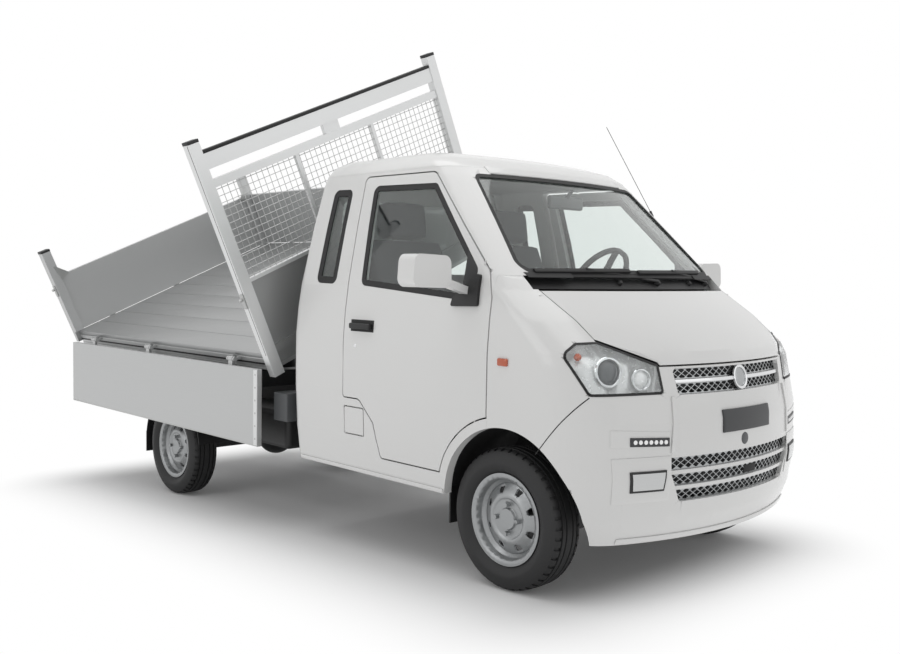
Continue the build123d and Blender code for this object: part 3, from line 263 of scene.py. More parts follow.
def clear(name, code, rough):
    """Float glass or polycarbonate: clear, with long faint waves in its gloss; light shines through it."""
    material = bpy.data.materials.new(name)
    material.use_nodes = True
    tree = material.node_tree
    shader = tree.nodes["Principled BSDF"]
    shader.inputs["Transmission Weight"].default_value = 1.0
    shader.inputs["IOR"].default_value = 1.45
    shader.inputs["Base Color"].default_value = linear(code)
    place = add(tree, "ShaderNodeTexCoord")
    wave = add(tree, "ShaderNodeTexNoise", {"Scale": 1000.0 / WAVE_MM}, {"Vector": place.outputs["Object"]})
    gloss = add(tree, "ShaderNodeMapRange", {"To Min": rough, "To Max": rough + 0.015},
                {"Value": wave.outputs["Fac"]})
    tree.links.new(gloss.outputs[0], shader.inputs["Roughness"])
    ray = add(tree, "ShaderNodeLightPath")
    open_air = add(tree, "ShaderNodeBsdfTransparent", {"Color": linear(code)})
    both = add(tree, "ShaderNodeMixShader", None, {0: ray.outputs["Is Shadow Ray"], 1: shader.outputs[0],
                                                   2: open_air.outputs[0]})
    tree.links.new(both.outputs[0], tree.nodes["Material Output"].inputs["Surface"])
    return material


window_glass = clear("green_tinted_float_glass", "#EEF3F1", 0.0)
lens_glass = clear("clear_polycarbonate_lens", "#F4F6F6", 0.01)


# Working on one piece

def only(piece):
    """Selects one piece and makes it active."""
    bpy.ops.object.select_all(action="DESELECT")
    piece.select_set(True)
    bpy.context.view_layer.objects.active = piece


def modify(piece, kind, **settings):
    """Adds one modifier and applies it."""
    only(piece)
    bpy.ops.object.modifier_add(type=kind)
    modifier = piece.modifiers[-1]
    for key, value in settings.items():
        setattr(modifier, key, value)
    bpy.ops.object.modifier_apply(modifier=modifier.name)
    return piece


def edit(piece, *steps):
    """Runs edit-mode steps on all of one piece's faces."""
    only(piece)
    bpy.ops.object.mode_set(mode="EDIT")
    bpy.ops.mesh.select_all(action="SELECT")
    for step in steps:
        step()
    bpy.ops.object.mode_set(mode="OBJECT")
    return piece


def select_all_faces():
    """Selects everything in edit mode."""
    bpy.ops.mesh.select_all(action="SELECT")


def pick(piece, wanted):
    """Selects the faces for which wanted is true and leaves the piece in edit mode."""
    only(piece)
    bpy.ops.object.mode_set(mode="EDIT")
    bpy.ops.mesh.select_mode(type="FACE")
    bpy.ops.mesh.select_all(action="DESELECT")
    bpy.ops.object.mode_set(mode="OBJECT")
    for face in piece.data.polygons:
        face.select = wanted(face)
    bpy.ops.object.mode_set(mode="EDIT")


def trim(piece, drop):
    """Deletes the faces for which drop is true."""
    pick(piece, drop)
    bpy.ops.mesh.delete(type="FACE")
    bpy.ops.object.mode_set(mode="OBJECT")
    return piece


def thicken(piece, thick, side):
    """Gives a sheet its thickness, outwards with side 1 and inwards with side -1."""
    return modify(piece, "SOLIDIFY", thickness=thick * MM, offset=side)


def join(pieces):
    """Joins pieces into the first of them."""
    only(pieces[0])
    for piece in pieces[1:]:
        piece.select_set(True)
    bpy.ops.object.join()
    return pieces[0]


def bake_place(piece, place):
    """Moves a piece to its place and leaves its object at the origin."""
    only(piece)
    piece.matrix_world = place @ piece.matrix_world
    bpy.ops.object.transform_apply(location=True, rotation=True, scale=True)
    return piece


def settle(piece, name, body, material, place=None, angle=35.0):
    """Names a piece, moves it to its place, gives it its finish and lets it ride on its body."""
    piece.name = name
    piece.data.name = name
    bake_place(piece, place if place is not None else Matrix.Identity(4))
    bpy.ops.object.shade_smooth_by_angle(angle=math.radians(angle))
    piece.data.materials.clear()
    piece.data.materials.append(material)
    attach(piece, body)
    return piece


def pair(piece, body="chassis"):
    """Copies a piece of the right side to the left, where it rides on the left one of its bodies."""
    name = piece.name.replace("right", "left")
    only(piece)
    bpy.ops.object.duplicate()
    copy = bpy.context.active_object
    copy.parent = None
    copy.name = name
    copy.data.name = name
    copy.data.transform(MIRRORED)
    edit(copy, lambda: bpy.ops.mesh.flip_normals())
    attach(copy, body.replace("right", "left"))
    return copy


def two_finishes(piece, main, other, takes_other):
    """Gives a piece a main finish, and another on the faces for which takes_other is true."""
    piece.data.materials.clear()
    piece.data.materials.append(main)
    piece.data.materials.append(other)
    for face in piece.data.polygons:
        face.material_index = 1 if takes_other(face) else 0


# Basic forms, in millimetres of the level truck

def slab(low, high, rounding=3.0, steps=2):
    """Rounded block between two corners."""
    bpy.ops.object.select_all(action="DESELECT")
    middle = [(a + b) / 2 * MM for a, b in zip(low, high)]
    size = [abs(b - a) * MM for a, b in zip(low, high)]
    bpy.ops.mesh.primitive_cube_add(size=1.0, location=middle, scale=size)
    piece = bpy.context.active_object
    bpy.ops.object.transform_apply(location=True, rotation=True, scale=True)
    return modify(piece, "BEVEL", width=rounding * MM, segments=steps, limit_method="ANGLE")


def round_bar(start, end, radius, rounding=1.0, sides=24):
    """Round bar with softened ends between two points."""
    bpy.ops.object.select_all(action="DESELECT")
    a, b = Vector(start) * MM, Vector(end) * MM
    run = b - a
    bpy.ops.mesh.primitive_cylinder_add(vertices=sides, radius=radius * MM, depth=run.length,
                                        location=(a + b) / 2, rotation=run.to_track_quat("Z", "Y").to_euler())
    piece = bpy.context.active_object
    bpy.ops.object.transform_apply(location=True, rotation=True, scale=True)
    return modify(piece, "BEVEL", width=rounding * MM, segments=2, limit_method="ANGLE",
                  angle_limit=math.radians(50))


def rounded(points, radius, steps=6):
    """Points of a closed outline with its corners made round."""
    out = []
    count = len(points)
    for i in range(count):
        here = Vector(points[i])
        back = Vector(points[i - 1]) - here
        ahead = Vector(points[(i + 1) % count]) - here
        half = back.angle(ahead) / 2
        reach = min(radius / math.tan(half), back.length * 0.45, ahead.length * 0.45)
        size = reach * math.tan(half)
        start, end = here + back.normalized() * reach, here + ahead.normalized() * reach
        centre = here + (back.normalized() + ahead.normalized()).normalized() * (size / math.sin(half))
        for k in range(steps + 1):
            arm = (start - centre).lerp(end - centre, k / steps)
            out.append(tuple(centre + arm.normalized() * size))
    return out


def upright(start, end, low, high):
    """Corners of an upright rectangle on a panel."""
    return (start, low), (end, low), (end, high), (start, high)


def sheet(points, put):
    """Flat face with the given outline; put turns each outline point into a place."""
    bpy.ops.object.select_all(action="DESELECT")
    bpy.ops.mesh.primitive_circle_add(vertices=len(points), radius=1.0, fill_type="NGON")
    piece = bpy.context.active_object
    for vertex, point in zip(piece.data.vertices, points):
        vertex.co = Vector(put(*point)) * MM
    return piece


def face_outwards(piece, direction):
    """Turns a sheet round if it looks the wrong way."""
    if piece.data.polygons[0].normal.dot(Vector(direction)) < 0:
        edit(piece, lambda: bpy.ops.mesh.flip_normals())
    return piece


def band(points, put, width, direction, cuts=5):
    """Ring that follows an outline inward, cut fine and then laid on a curved panel by put."""
    piece = sheet(points, lambda u, v: (u, v, 0.0))
    edit(piece, lambda: bpy.ops.mesh.inset(thickness=width * MM, depth=0.0),
         lambda: bpy.ops.mesh.delete(type="FACE"), select_all_faces,
         lambda: bpy.ops.mesh.subdivide(number_cuts=cuts))
    for vertex in piece.data.vertices:
        vertex.co = Vector(put(vertex.co.x / MM, vertex.co.y / MM)) * MM
    return face_outwards(piece, direction)


def patch(corners, put, along=24, across=2):
    """Fine grid stretched between four corners and laid on a panel by put."""
    bpy.ops.object.select_all(action="DESELECT")
    bpy.ops.mesh.primitive_grid_add(x_subdivisions=along, y_subdivisions=across, size=1.0)
    piece = bpy.context.active_object
    a, b, c, d = [Vector(corner) for corner in corners]
    for vertex in piece.data.vertices:
        s, t = vertex.co.x + 0.5, vertex.co.y + 0.5
        vertex.co = Vector(put(*(a.lerp(b, s).lerp(d.lerp(c, s), t)))) * MM
    return piece


def applied(name, put, corners, thick, material, slot, body="chassis", **cuts):
    """Strip or plate that follows a panel: a fine grid laid on it by put and thickened outwards."""
    piece = thicken(face_outwards(patch(corners, put, **cuts), (1, -1, 0)), thick, 1.0)
    modify(piece, "BEVEL", width=min(thick * 0.3, 2.0) * MM, segments=2, limit_method="ANGLE",
           angle_limit=math.radians(50))
    return settle(piece, name, body, material, STAND)


def lathe(profile, place, axis, steps=40):
    """Turned piece: (radius, height) points spun about an axis at a place of the standing truck."""
    bpy.ops.object.select_all(action="DESELECT")
    bpy.ops.mesh.primitive_circle_add(vertices=len(profile), radius=1.0, fill_type="NOTHING")
    piece = bpy.context.active_object
    for vertex, (radius, height) in zip(piece.data.vertices, profile):
        vertex.co = (radius * MM, 0, height * MM)
    edit(piece, lambda: bpy.ops.mesh.spin(steps=steps, angle=math.tau, center=(0, 0, 0), axis=(0, 0, 1)),
         select_all_faces, lambda: bpy.ops.mesh.remove_doubles(threshold=0.00001),
         lambda: bpy.ops.mesh.dissolve_degenerate(), lambda: bpy.ops.mesh.delete_loose(use_faces=False),
         select_all_faces, lambda: bpy.ops.mesh.normals_make_consistent(inside=False))
    turn = Vector(axis).normalized().to_track_quat("Z", "Y").to_matrix().to_4x4()
    return bake_place(piece, Matrix.Translation(place) @ turn)


# Pieces made from the solids

def welded_copy(node, name, *steps):
    """A copy of a solid's mesh with its loose triangles merged, and then edited by further steps."""
    piece = bpy.data.objects.new(name, nodes[node].data.copy())
    bpy.context.scene.collection.objects.link(piece)
    return edit(piece, lambda: bpy.ops.mesh.remove_doubles(threshold=0.00002), *steps)


def dress(node, material, slot, angle=32.0, edge=0.0, flat=0.3):
    """A smooth-shaded copy of a solid with softened edges, which stands for the solid."""
    piece = welded_copy(node, node + "_dressed",
                        lambda: bpy.ops.mesh.dissolve_limited(angle_limit=math.radians(flat)))
    if edge:
        modify(piece, "BEVEL", width=edge * MM, segments=2, limit_method="ANGLE",
               angle_limit=math.radians(50), use_clamp_overlap=True)
    settle(piece, node + "_dressed", nodes[node]["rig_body"], material, angle=angle)
    modify(piece, "WEIGHTED_NORMAL", keep_sharp=True, weight=60)
    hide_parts(node)
    return piece


def on_panel(node, start, toward):
    """Place and outward direction where a line from a point of the level truck first meets a solid."""
    aim = (STAND.to_3x3() @ Vector(toward)).normalized()
    mesh = nodes[node].data
    skin = BVHTree.FromPolygons([v.co for v in mesh.vertices], [p.vertices for p in mesh.polygons])
    place, normal, _, _ = skin.ray_cast(STAND @ (Vector(start) * MM), aim)
    if place is None:
        raise ValueError("no panel of " + node + " at " + str(start))
    return place, normal


# Lines are sent at the solids from points well clear of them
CLEAR_AHEAD, CLEAR_RIGHT = 900.0, -1200.0


def from_front(node, y, z):
    """Place and outward direction of a solid at a place seen from the front."""
    return on_panel(node, (CLEAR_AHEAD, y, z), (-1, 0, 0))


def from_right(node, x, z):
    """Place and outward direction of a solid at a place seen from the right."""
    return on_panel(node, (x, CLEAR_RIGHT, z), (0, 1, 0))


def level_y(place):
    """Sideways millimetres on the level truck of a place of the standing one."""
    return (STAND.inverted() @ place).y / MM


# Solids that keep their shape
dressed = {}
for names, material, slot, settings in (
        (("cab_sides", "cab_roof", "cab_back", "fenders", "front_bumper", "hood", "door_right", "door_left",
          "fuel_flap"), enamel, "white_paint", {}),
        (("mirror_right", "mirror_left"), enamel, "white_paint", {"edge": 16.0}),
        (("windshield", "cab_glass", "door_glass_right", "door_glass_left"),
         window_glass, "glass", {"flat": 0.1}),
        (("cowl", "mud_guards", "steering_wheel", "fuel_tank"),
         moulded_black, "black_plastic", {"edge": 1.5}),
        (("dashboard",), dash_grey, "black_plastic", {"edge": 1.5}),
        (("chassis_frame", "engine_block", "propshaft", "rear_axle", "leaf_springs", "front_suspension",
          "tipper_frame", "knuckle_left", "knuckle_right", "exhaust", "cylinder_barrel"),
         chassis_black, "dark_steel", {"edge": 2.0}),
        (("bed_frame",), anodised, "dark_steel", {"edge": 1.5}),
        (("cab_floor",), moulded_black, "dark_steel", {}),
        (("cylinder_stage", "cylinder_ram"), chrome, "chrome", {}),
        (("grille",), grille_silver, "chrome", {}),
        (("headboard", "rear_posts", "side_board_right", "side_board_left", "tailgate"),
         anodised, "aluminium", {"edge": 2.0}),
        (("power_pack",), pump_grey, "aluminium", {"edge": 2.0}),
        (["rim_" + corner for corner in CORNERS], wheel_silver, "silver_steel", {"angle": 40.0}),
        (("tail_lamps",), red_lamp, "red_lamp", {"edge": 3.0}),
        (("small_lamps",), fog_clear, "lamp", {})):
    for node in names:
        dressed[node] = dress(node, material, slot, **settings)

# The headboard's posts and bars are bright and its lower sheet is grey, partly painted shade; the mirrors
# have black arms
HEADBOARD_SHEET_HALF, HEADBOARD_SHEET_TOP = 755.0, FLOOR_Z + 385.0
MIRROR_ARM_END = 812.0
untipped = TIPPED.inverted()


def on_headboard_sheet(face):
    """Whether a face of the headboard belongs to its lower sheet."""
    middle = (untipped @ face.center) / MM
    return abs(middle.y) < HEADBOARD_SHEET_HALF and middle.z < HEADBOARD_SHEET_TOP


def on_mirror_arm(face):
    """Whether a face of a mirror belongs to its arm."""
    return abs(face.center.y - MIDDLE_Y) < MIRROR_ARM_END * MM


two_finishes(dressed["headboard"], bright_aluminium, sheet_aluminium_partly_painted_shade, on_headboard_sheet)
for side in ("right", "left"):
    two_finishes(dressed["mirror_" + side], enamel, moulded_black, on_mirror_arm)


# Tyres: moulded rubber with ribs, grooves and shoulder blocks; half a section as (across, radius)
TREAD = [(0, TYRE_RADIUS), (14, 280.2), (15.5, 274), (20.5, 274), (22, 280), (38, 279.4), (39.5, 273),
         (44.5, 273), (46, 278.8), (55, 277.2), (63, 273.4), (68.5, 268), (73, 260), (77.5, 248),
         (80.5, 236), (82, 226), (82.4, 221), (80.6, 214), (76, 203), (70, 194.5), (66, 189.5),
         (63.5, 187), (60.5, 183.5), (58.8, 178), (58.4, 165.4)]
TYRE_STEPS, GROOVE_EVERY, GROOVE_DEPTH = 132, 3, 5.0
SHOULDER_INNER, SHOULDER_OUTER, SHOULDER_RADIUS = 46.0, 67.0, 266.0


def on_shoulder_groove(face):
    """Whether a face of the tyre lies where a shoulder groove is pressed in."""
    x, y, z = face.center / MM
    step = int(round(math.atan2(z, x) / math.tau * TYRE_STEPS - 0.5)) % GROOVE_EVERY
    return step == 0 and SHOULDER_INNER < abs(y) < SHOULDER_OUTER and math.hypot(x, z) > SHOULDER_RADIUS


def make_tyre(corner):
    """Spins the tyre's section and presses its shoulder grooves in."""
    low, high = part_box("tyre_" + corner)
    section = [(-a, r) for a, r in reversed(TREAD[1:])] + TREAD
    bpy.ops.object.select_all(action="DESELECT")
    bpy.ops.mesh.primitive_circle_add(vertices=len(section), radius=1.0, fill_type="NOTHING")
    piece = bpy.context.active_object
    for vertex, (across, radius) in zip(piece.data.vertices, section):
        vertex.co = (radius * MM, across * MM, 0)
    edit(piece, lambda: bpy.ops.mesh.spin(steps=TYRE_STEPS, angle=math.tau, center=(0, 0, 0), axis=(0, 1, 0)),
         select_all_faces, lambda: bpy.ops.mesh.remove_doubles(threshold=0.0001),
         lambda: bpy.ops.mesh.normals_make_consistent(inside=False))
    pick(piece, on_shoulder_groove)
    bpy.ops.mesh.extrude_region_shrink_fatten(TRANSFORM_OT_shrink_fatten={"value": -GROOVE_DEPTH * MM})
    bpy.ops.object.mode_set(mode="OBJECT")
    settle(piece, "tyre_tread_" + corner, "wheel_" + corner, tyre_rubber,
           Matrix.Translation((low + high) / 2), angle=28.0)
    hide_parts("tyre_" + corner)


for corner in CORNERS:
    make_tyre(corner)


# Window seals and the screen's black border
SEAL_SINK = -6.6
SCREEN = rounded(((-668, SCREEN_FOOT_Z), (668, SCREEN_FOOT_Z),
                  (540, SCREEN_HEAD_Z), (-540, SCREEN_HEAD_Z)), 45)
DOOR_WINDOW = rounded(((-885, 1182), (-150, 1128), (-152, 1262), (-500, 1626), (-930, 1636)), 34)
QUARTER_WINDOW = rounded(((-1232, 1188), (-1075, 1184), (-1086, 1628), (-1230, 1632)), 34)

border = thicken(band(SCREEN, on_nose(SEAL_SINK), 17, (1, 0, 0)), 4.0, 1.0)
settle(border, "screen_border", "chassis", trim_rubber, STAND)
for name, outline, width, body in (("door_window_seal_right", DOOR_WINDOW, 26, "door_right"),
                                   ("quarter_window_seal_right", QUARTER_WINDOW, 32, "chassis")):
    seal = thicken(band(outline, on_flank(SEAL_SINK), width, (0, -1, 0)), 5.0, 1.0)
    pair(settle(seal, name, body, trim_rubber, STAND), body)


# Headlamps: clear lens, silvered housing, rubber gasket, ringed projector and reflector, amber bulb

def looks_out(face):
    """Whether a face of a headlamp looks out of the nose."""
    side = -1 if face.center.y < MIDDLE_Y else 1
    return Vector((0.8, 0.6 * side, 0)).dot(face.normal) > 0.25


def looks_in(face):
    """Whether a face of a headlamp is a wall of its housing."""
    return not looks_out(face)


lens = thicken(trim(welded_copy("headlamps", "headlamp_lens"), looks_in), 3.0, -1.0)
settle(lens, "headlamp_lens", "chassis", lens_glass, angle=40.0)
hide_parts("headlamps")
housing = thicken(trim(welded_copy("headlamps", "headlamp_housing"), looks_out), 1.5, -1.0)
settle(housing, "headlamp_housing", "chassis", lamp_silver, angle=40.0)
gasket = trim(welded_copy("headlamps", "headlamp_gasket"), looks_in)
edit(gasket, lambda: bpy.ops.mesh.inset(thickness=10.0 * MM, use_boundary=True),
     lambda: bpy.ops.mesh.delete(type="FACE"))
settle(thicken(gasket, 1.6, 1.0), "headlamp_gasket", "chassis", trim_rubber, angle=40.0)

# Turned lamp parts as (radius, height), and where they sit along and up the lamp's slanting face
BEZEL = [(55, -8), (57, -2), (54, 3), (48, 4), (44, 0), (42, -8)]
DOME = [(0, 8), (14, 7), (27, 3), (37, -3), (42, -8), (42, -12), (0, -12)]
BULB = [(0, 12), (8, 10.5), (13, 5), (14, -4), (9, -6), (0, -6)]
LAMP_ALONG, LAMP_OUT = Vector((0.6, 0.8, 0)), Vector((0.8, -0.6, 0))
LAMP_START = Vector((336.0, -252.0, 0)) + LAMP_OUT * 600.0
for name, along, up, recess, scale, parts in (
        ("projector", -243.0, 892.0, 22.0, 1.0, ((BEZEL, chrome, "chrome"), (DOME, projector_glass, "lamp"))),
        ("reflector", -112.0, 861.0, 20.0, 0.72, ((BEZEL, chrome, "chrome"), (DOME, lamp_silver, "chrome"))),
        ("amber_bulb", -362.0, 955.0, 22.0, 1.0, ((BULB, amber, "lamp"),))):
    place, normal = on_panel("headlamps", LAMP_START + LAMP_ALONG * along + Vector((0, 0, up)), -LAMP_OUT)
    axis = (normal + Vector((0.6, -0.2, 0))).normalized()
    for k, (profile, material, slot) in enumerate(parts):
        part = lathe([(r * scale, h * scale) for r, h in profile], place - normal * recess * MM, axis)
        pair(settle(part, "headlamp_%s_%d_right" % (name, k), "chassis", material))


# Grilles and nose fittings
for name, x, half, low, high in (("grille_back_upper", 498.0, 380.0, 796.0, 900.0),
                                 ("grille_back_lower", 516.0, 440.0, 398.0, 576.0)):
    settle(slab((x, -half, low), (x + 6, half, high)), name, "chassis", plate_grey, STAND)
applied("grille_bright_bar", on_nose(-6.8), ((-372, 842), (372, 842), (374, 855), (-374, 855)), 2.5,
        chrome, "chrome")
RING = [(46, -4), (49, 0), (48, 6), (43, 8), (38, 5), (37, -4)]
DISC = [(0, 5), (20, 4.6), (33, 3), (38, 1), (38, -4), (0, -4)]
TOW_COVER = [(0, 1.6), (21, 1.4), (24, 0.4), (24, -3), (0, -3)]
for name, profile, y, z, material, slot in (
        ("nose_ring", RING, 0, 849, chrome, "chrome"),
        ("nose_disc", DISC, 0, 849, grille_silver, "chrome"),
        ("tow_eye_cover", TOW_COVER, -14, 612, pump_grey, "black_plastic")):
    settle(lathe(profile, *from_front("front_bumper", y, z)), name, "chassis", material)
applied("plate_holder", on_nose(0.2), upright(-160, 180, 646, 733), 6.0, plate_grey, "black_plastic",
        across=6)
# Painted shade: the tow slot is a nearly black slab standing in for the shade in its opening
settle(slab((560, 10, 468), (607, 100, 502), 6.0), "tow_slot_painted_shade", "chassis", shade_and_seam_black, STAND)
applied("bumper_lip", on_nose(0.2), upright(-600, 600, 256, 276), 5.0, enamel, "white_paint", across=4)

# Painted covers over the solids' small lamps, and the lamps in frames on top: corners, lift and thickness
for name, corners, lift, thick, material, slot in (
        ("lamp_cover_right", ((-664, 684), (-426, 668), (-426, 606), (-664, 622)), 0.3, 1.2,
         enamel, "white_paint"),
        ("running_light_frame_right", ((-594, 655), (-434, 648), (-434, 616), (-594, 622)), 1.6, 3.0,
         plate_grey, "black_plastic"),
        ("fog_pocket_right", ((-660, 580), (-424, 580), (-424, 412), (-650, 412)), 0.3, 2.0,
         enamel, "white_paint"),
        ("bumper_crease_right", ((-426, 590), (-408, 590), (-392, 795), (-408, 795)), 0.2, 6.0,
         enamel, "white_paint"),
        ("fog_bezel_right", ((-596, 530), (-446, 530), (-452, 452), (-590, 452)), 2.4, 4.0,
         moulded_black, "black_plastic"),
        ("fog_lens_right", ((-588, 522), (-455, 522), (-460, 460), (-582, 460)), 6.5, 2.0,
         fog_clear, "lamp")):
    pair(applied(name, on_nose(lift), corners, thick, material, slot, across=8))
LIGHT = [(0, 3), (5, 2.6), (8, 0.6), (8, -2), (0, -2)]
LIGHTS, FIRST_LIGHT_Y, LIGHT_ROW = 7, -452.0, 124.0
for i in range(LIGHTS):
    y = FIRST_LIGHT_Y - LIGHT_ROW * i / (LIGHTS - 1)
    place = STAND @ (Vector(nose(y, 632.0 - (y + 434.0) * 0.04, 4.6)) * MM)
    light = lathe(LIGHT, place, (0.85, -0.5, 0), 20)
    pair(settle(light, "running_light_%d_right" % i, "chassis", lamp_silver))
pair(applied("bumper_seam_right", on_flank(-0.1), ((402, 800), (205, 575), (208.2, 573), (405.4, 798)), 0.5,
             shade_and_seam_black, "black_plastic"))


# Roof rail over the screen, trim at its foot and a nearly black panel of painted shade behind the hood's shut
# line
applied("screen_header", on_nose(-12.0), upright(-452, 452, SCREEN_HEAD_Z - 2, SCREEN_HEAD_Z + 31), 11.5,
        enamel, "white_paint", across=4)
applied("screen_foot", on_nose(-17.0), upright(-640, 640, SCREEN_FOOT_Z - 17, SCREEN_FOOT_Z + 3), 9.0,
        trim_rubber, "black_plastic", across=4)
pair(applied("cowl_corner_right", on_nose(0.3), ((-644, 1228), (-430, 1228), (-430, 1248), (-652, 1248)), 1.5,
             trim_rubber, "black_plastic", across=4))
# Painted shade: a nearly black panel that darkens the gap behind the hood's shut line
applied("shut_line_painted_shade", on_nose(-80.0), upright(-600, 600, 1136, 1197), 4.0, shade_and_seam_black, "black_plastic",
        across=4)


# Doors and side markers
for name, lift, corners, thick, material, slot, body, cuts in (
        ("mirror_corner_right", -5.0, ((-222, 1133), (-151, 1129), (-153, 1261), (-228, 1338)), 5.0,
         moulded_black, "black_plastic", "door_right", {"along": 12, "across": 12}),
        ("sill_strip_right", 0.2, upright(-1330, -312, 336, 354), 6.0,
         enamel, "white_paint", "chassis", {}),
        # Painted shade: the handle recess is a thin nearly black sheet standing in for the shade behind the
        # handle
        ("handle_recess_right", 0.2, upright(-925, -762, 975, 1028), 0.8,
         shade_and_seam_black, "black_plastic", "door_right", {"along": 12, "across": 4})):
    pair(applied(name, on_flank(lift), corners, thick, material, slot, body, **cuts), body)

HANDLE_FRONT, HANDLE_REAR, HANDLE_Z = -771.0, -915.0, 1000.0
outer_y = level_y(from_right("door_right", (HANDLE_FRONT + HANDLE_REAR) / 2, HANDLE_Z)[0])
handle = [slab((HANDLE_REAR, outer_y - 24, HANDLE_Z - 13),
               (HANDLE_FRONT, outer_y - 9, HANDLE_Z + 13), 6.0, 3)]
for x in (HANDLE_REAR + 10, HANDLE_FRONT - 10):
    handle.append(slab((x - 9, outer_y - 18, HANDLE_Z - 11), (x + 9, outer_y + 1, HANDLE_Z + 11), 4.0))
handle = settle(join(handle), "door_handle_right", "door_right", moulded_black, STAND)
pair(handle, "door_right")

LOCK = [(0, 2.5), (8, 2.2), (10, 0.5), (10, -2), (0, -2)]
lock = lathe(LOCK, *from_right("door_right", -889, 910), 28)
pair(settle(lock, "door_lock_right", "door_right", chrome), "door_right")

MARKER_X, MARKER_Z = 35.0, 904.0
outer_y = level_y(from_right("fenders", MARKER_X, MARKER_Z)[0])
marker = slab((MARKER_X - 27, outer_y - 8, MARKER_Z - 15),
              (MARKER_X + 27, outer_y + 3, MARKER_Z + 15), 6.0, 3)
pair(settle(marker, "side_marker_right", "chassis", amber, STAND))


# Wipers, washer jets, aerial and inner mirror
PIVOT = [(0, 20), (11, 18), (15, 10), (16, -2), (0, -2)]
JET = [(0, 16), (9, 14), (13, 6), (14, -2), (0, -2)]
WIPER_START_Z, WIPER_END_Z, WIPER_TALL = SCREEN_FOOT_Z + 2, SCREEN_FOOT_Z + 8, 14.0
for name, start, end, pivot in (("wiper_right", -600.0, -70.0, 110.0), ("wiper_left", -20.0, 520.0, 580.0)):
    corners = ((start, WIPER_START_Z), (end, WIPER_END_Z), (end, WIPER_END_Z + WIPER_TALL),
               (start, WIPER_START_Z + WIPER_TALL))
    applied(name + "_blade", on_nose(-1.5), corners, 9.0, trim_rubber, "black_plastic")
    foot, up = from_front("cowl", pivot, COWL_Z)
    hold, out = from_front("windshield", (start + end) / 2, (WIPER_START_Z + WIPER_END_Z) / 2 + 6)
    arm = round_bar((foot + up * 16 * MM) / MM, (hold + out * 14 * MM) / MM, 7.0, 2.0)
    settle(arm, name + "_arm", "chassis", moulded_black)
    settle(lathe(PIVOT, foot, up, 28), name + "_pivot", "chassis", moulded_black)
for side, y in (("right", -150.0), ("left", 400.0)):
    jet = lathe(JET, *from_front("cowl", y, COWL_Z), 28)
    settle(jet, "washer_jet_" + side, "chassis", moulded_black)
for name, start, end, radius, rounding, material in (
        ("aerial_rod", (-332, 664, 1556), (-630, 664, 2019), 1.5, 0.5, moulded_black),
        ("aerial_foot", (-322, 662, 1540), (-340, 664, 1570), 6.0, 2.5, moulded_black),
        ("inner_mirror_stalk", (-330, 0, 1590), (-296, 0, 1625), 9.0, 2.0, dash_grey)):
    settle(round_bar(start, end, radius, rounding), name, "chassis", material, STAND)
settle(slab((-352, -115, 1538), (-322, 115, 1598), 12.0, 4), "inner_mirror", "chassis", dash_grey,
       STAND)


# Seats: crowned pads of woven cloth

def pad(name, low, high, lean, line):
    """Foam pad: a rounded block subdivided and smoothed into a crowned cushion, leaned about a cross line."""
    piece = slab(low, high, 34.0, 3)
    edit(piece, lambda: bpy.ops.mesh.subdivide(number_cuts=2),
         lambda: bpy.ops.mesh.vertices_smooth(factor=0.5, repeat=12))
    modify(piece, "SUBSURF", levels=1, render_levels=1)
    place = STAND @ turned_about((line[0], 0, line[1]), "Y", math.radians(lean))
    settle(piece, name, "chassis", seat_cloth, place, angle=70.0)
    return piece


for side, y in (("right", -365.0), ("left", 365.0)):
    cushion = pad("seat_cushion_" + side, (-850, y - 240, 692), (-330, y + 240, 838), 3.0, (-850, 692))
    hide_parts("seats")
    pad("seat_back_" + side, (-930, y - 235, 752), (-790, y + 235, 1400), -20.0, (-930, 752))
    pad("headrest_" + side, (-1120, y - 130, 1402), (-1005, y + 130, 1580), -8.0, (-1060, 1490))
    for dy in (-60, 60):
        settle(round_bar((-1075, y + dy, 1340), (-1058, y + dy, 1450), 7.0),
               "headrest_post_%s_%d" % (side, dy + 60), "chassis", chrome, STAND)


# Bed: floor planks and the rails along its edges
PLANKS, PLANK_THICK, PLANK_GAP = 10, 26.0, 1.4
PLANK_PITCH = 2 * BED_HALF / PLANKS
planks = []
for i in range(PLANKS):
    start = -BED_HALF + PLANK_PITCH * i + PLANK_GAP / 2
    planks.append(slab((BED_REAR, start, FLOOR_Z - PLANK_THICK),
                       (BED_FRONT, start + PLANK_PITCH - PLANK_GAP, FLOOR_Z), 2.0))
floor_planks = settle(join(planks), "bed_floor_planks", "bed", sheet_aluminium_partly_painted_shade, TIPPED)
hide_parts("bed_floor")
for name, inner, outer, low, high, rounding, material in (
        ("edge_rib_upper", -BED_HALF + 1, -BED_HALF - 3, 834, 843, 0.8, anodised),
        ("edge_rib_lower", -BED_HALF + 1, -BED_HALF - 3, 779, 788, 0.8, anodised),
        ("edge_groove", -BED_HALF + 1, -BED_HALF - 0.8, 806, 816, 0.32, trim_rubber),
        ("floor_edge_left", BED_HALF - 2, BED_HALF + 3.5, FLOOR_Z - 12, FLOOR_Z - 1, 1.0, anodised)):
    rail = slab((BED_REAR + 2, inner, low), (BED_FRONT - 2, outer, high), rounding)
    settle(rail, name, "bed", material, TIPPED)

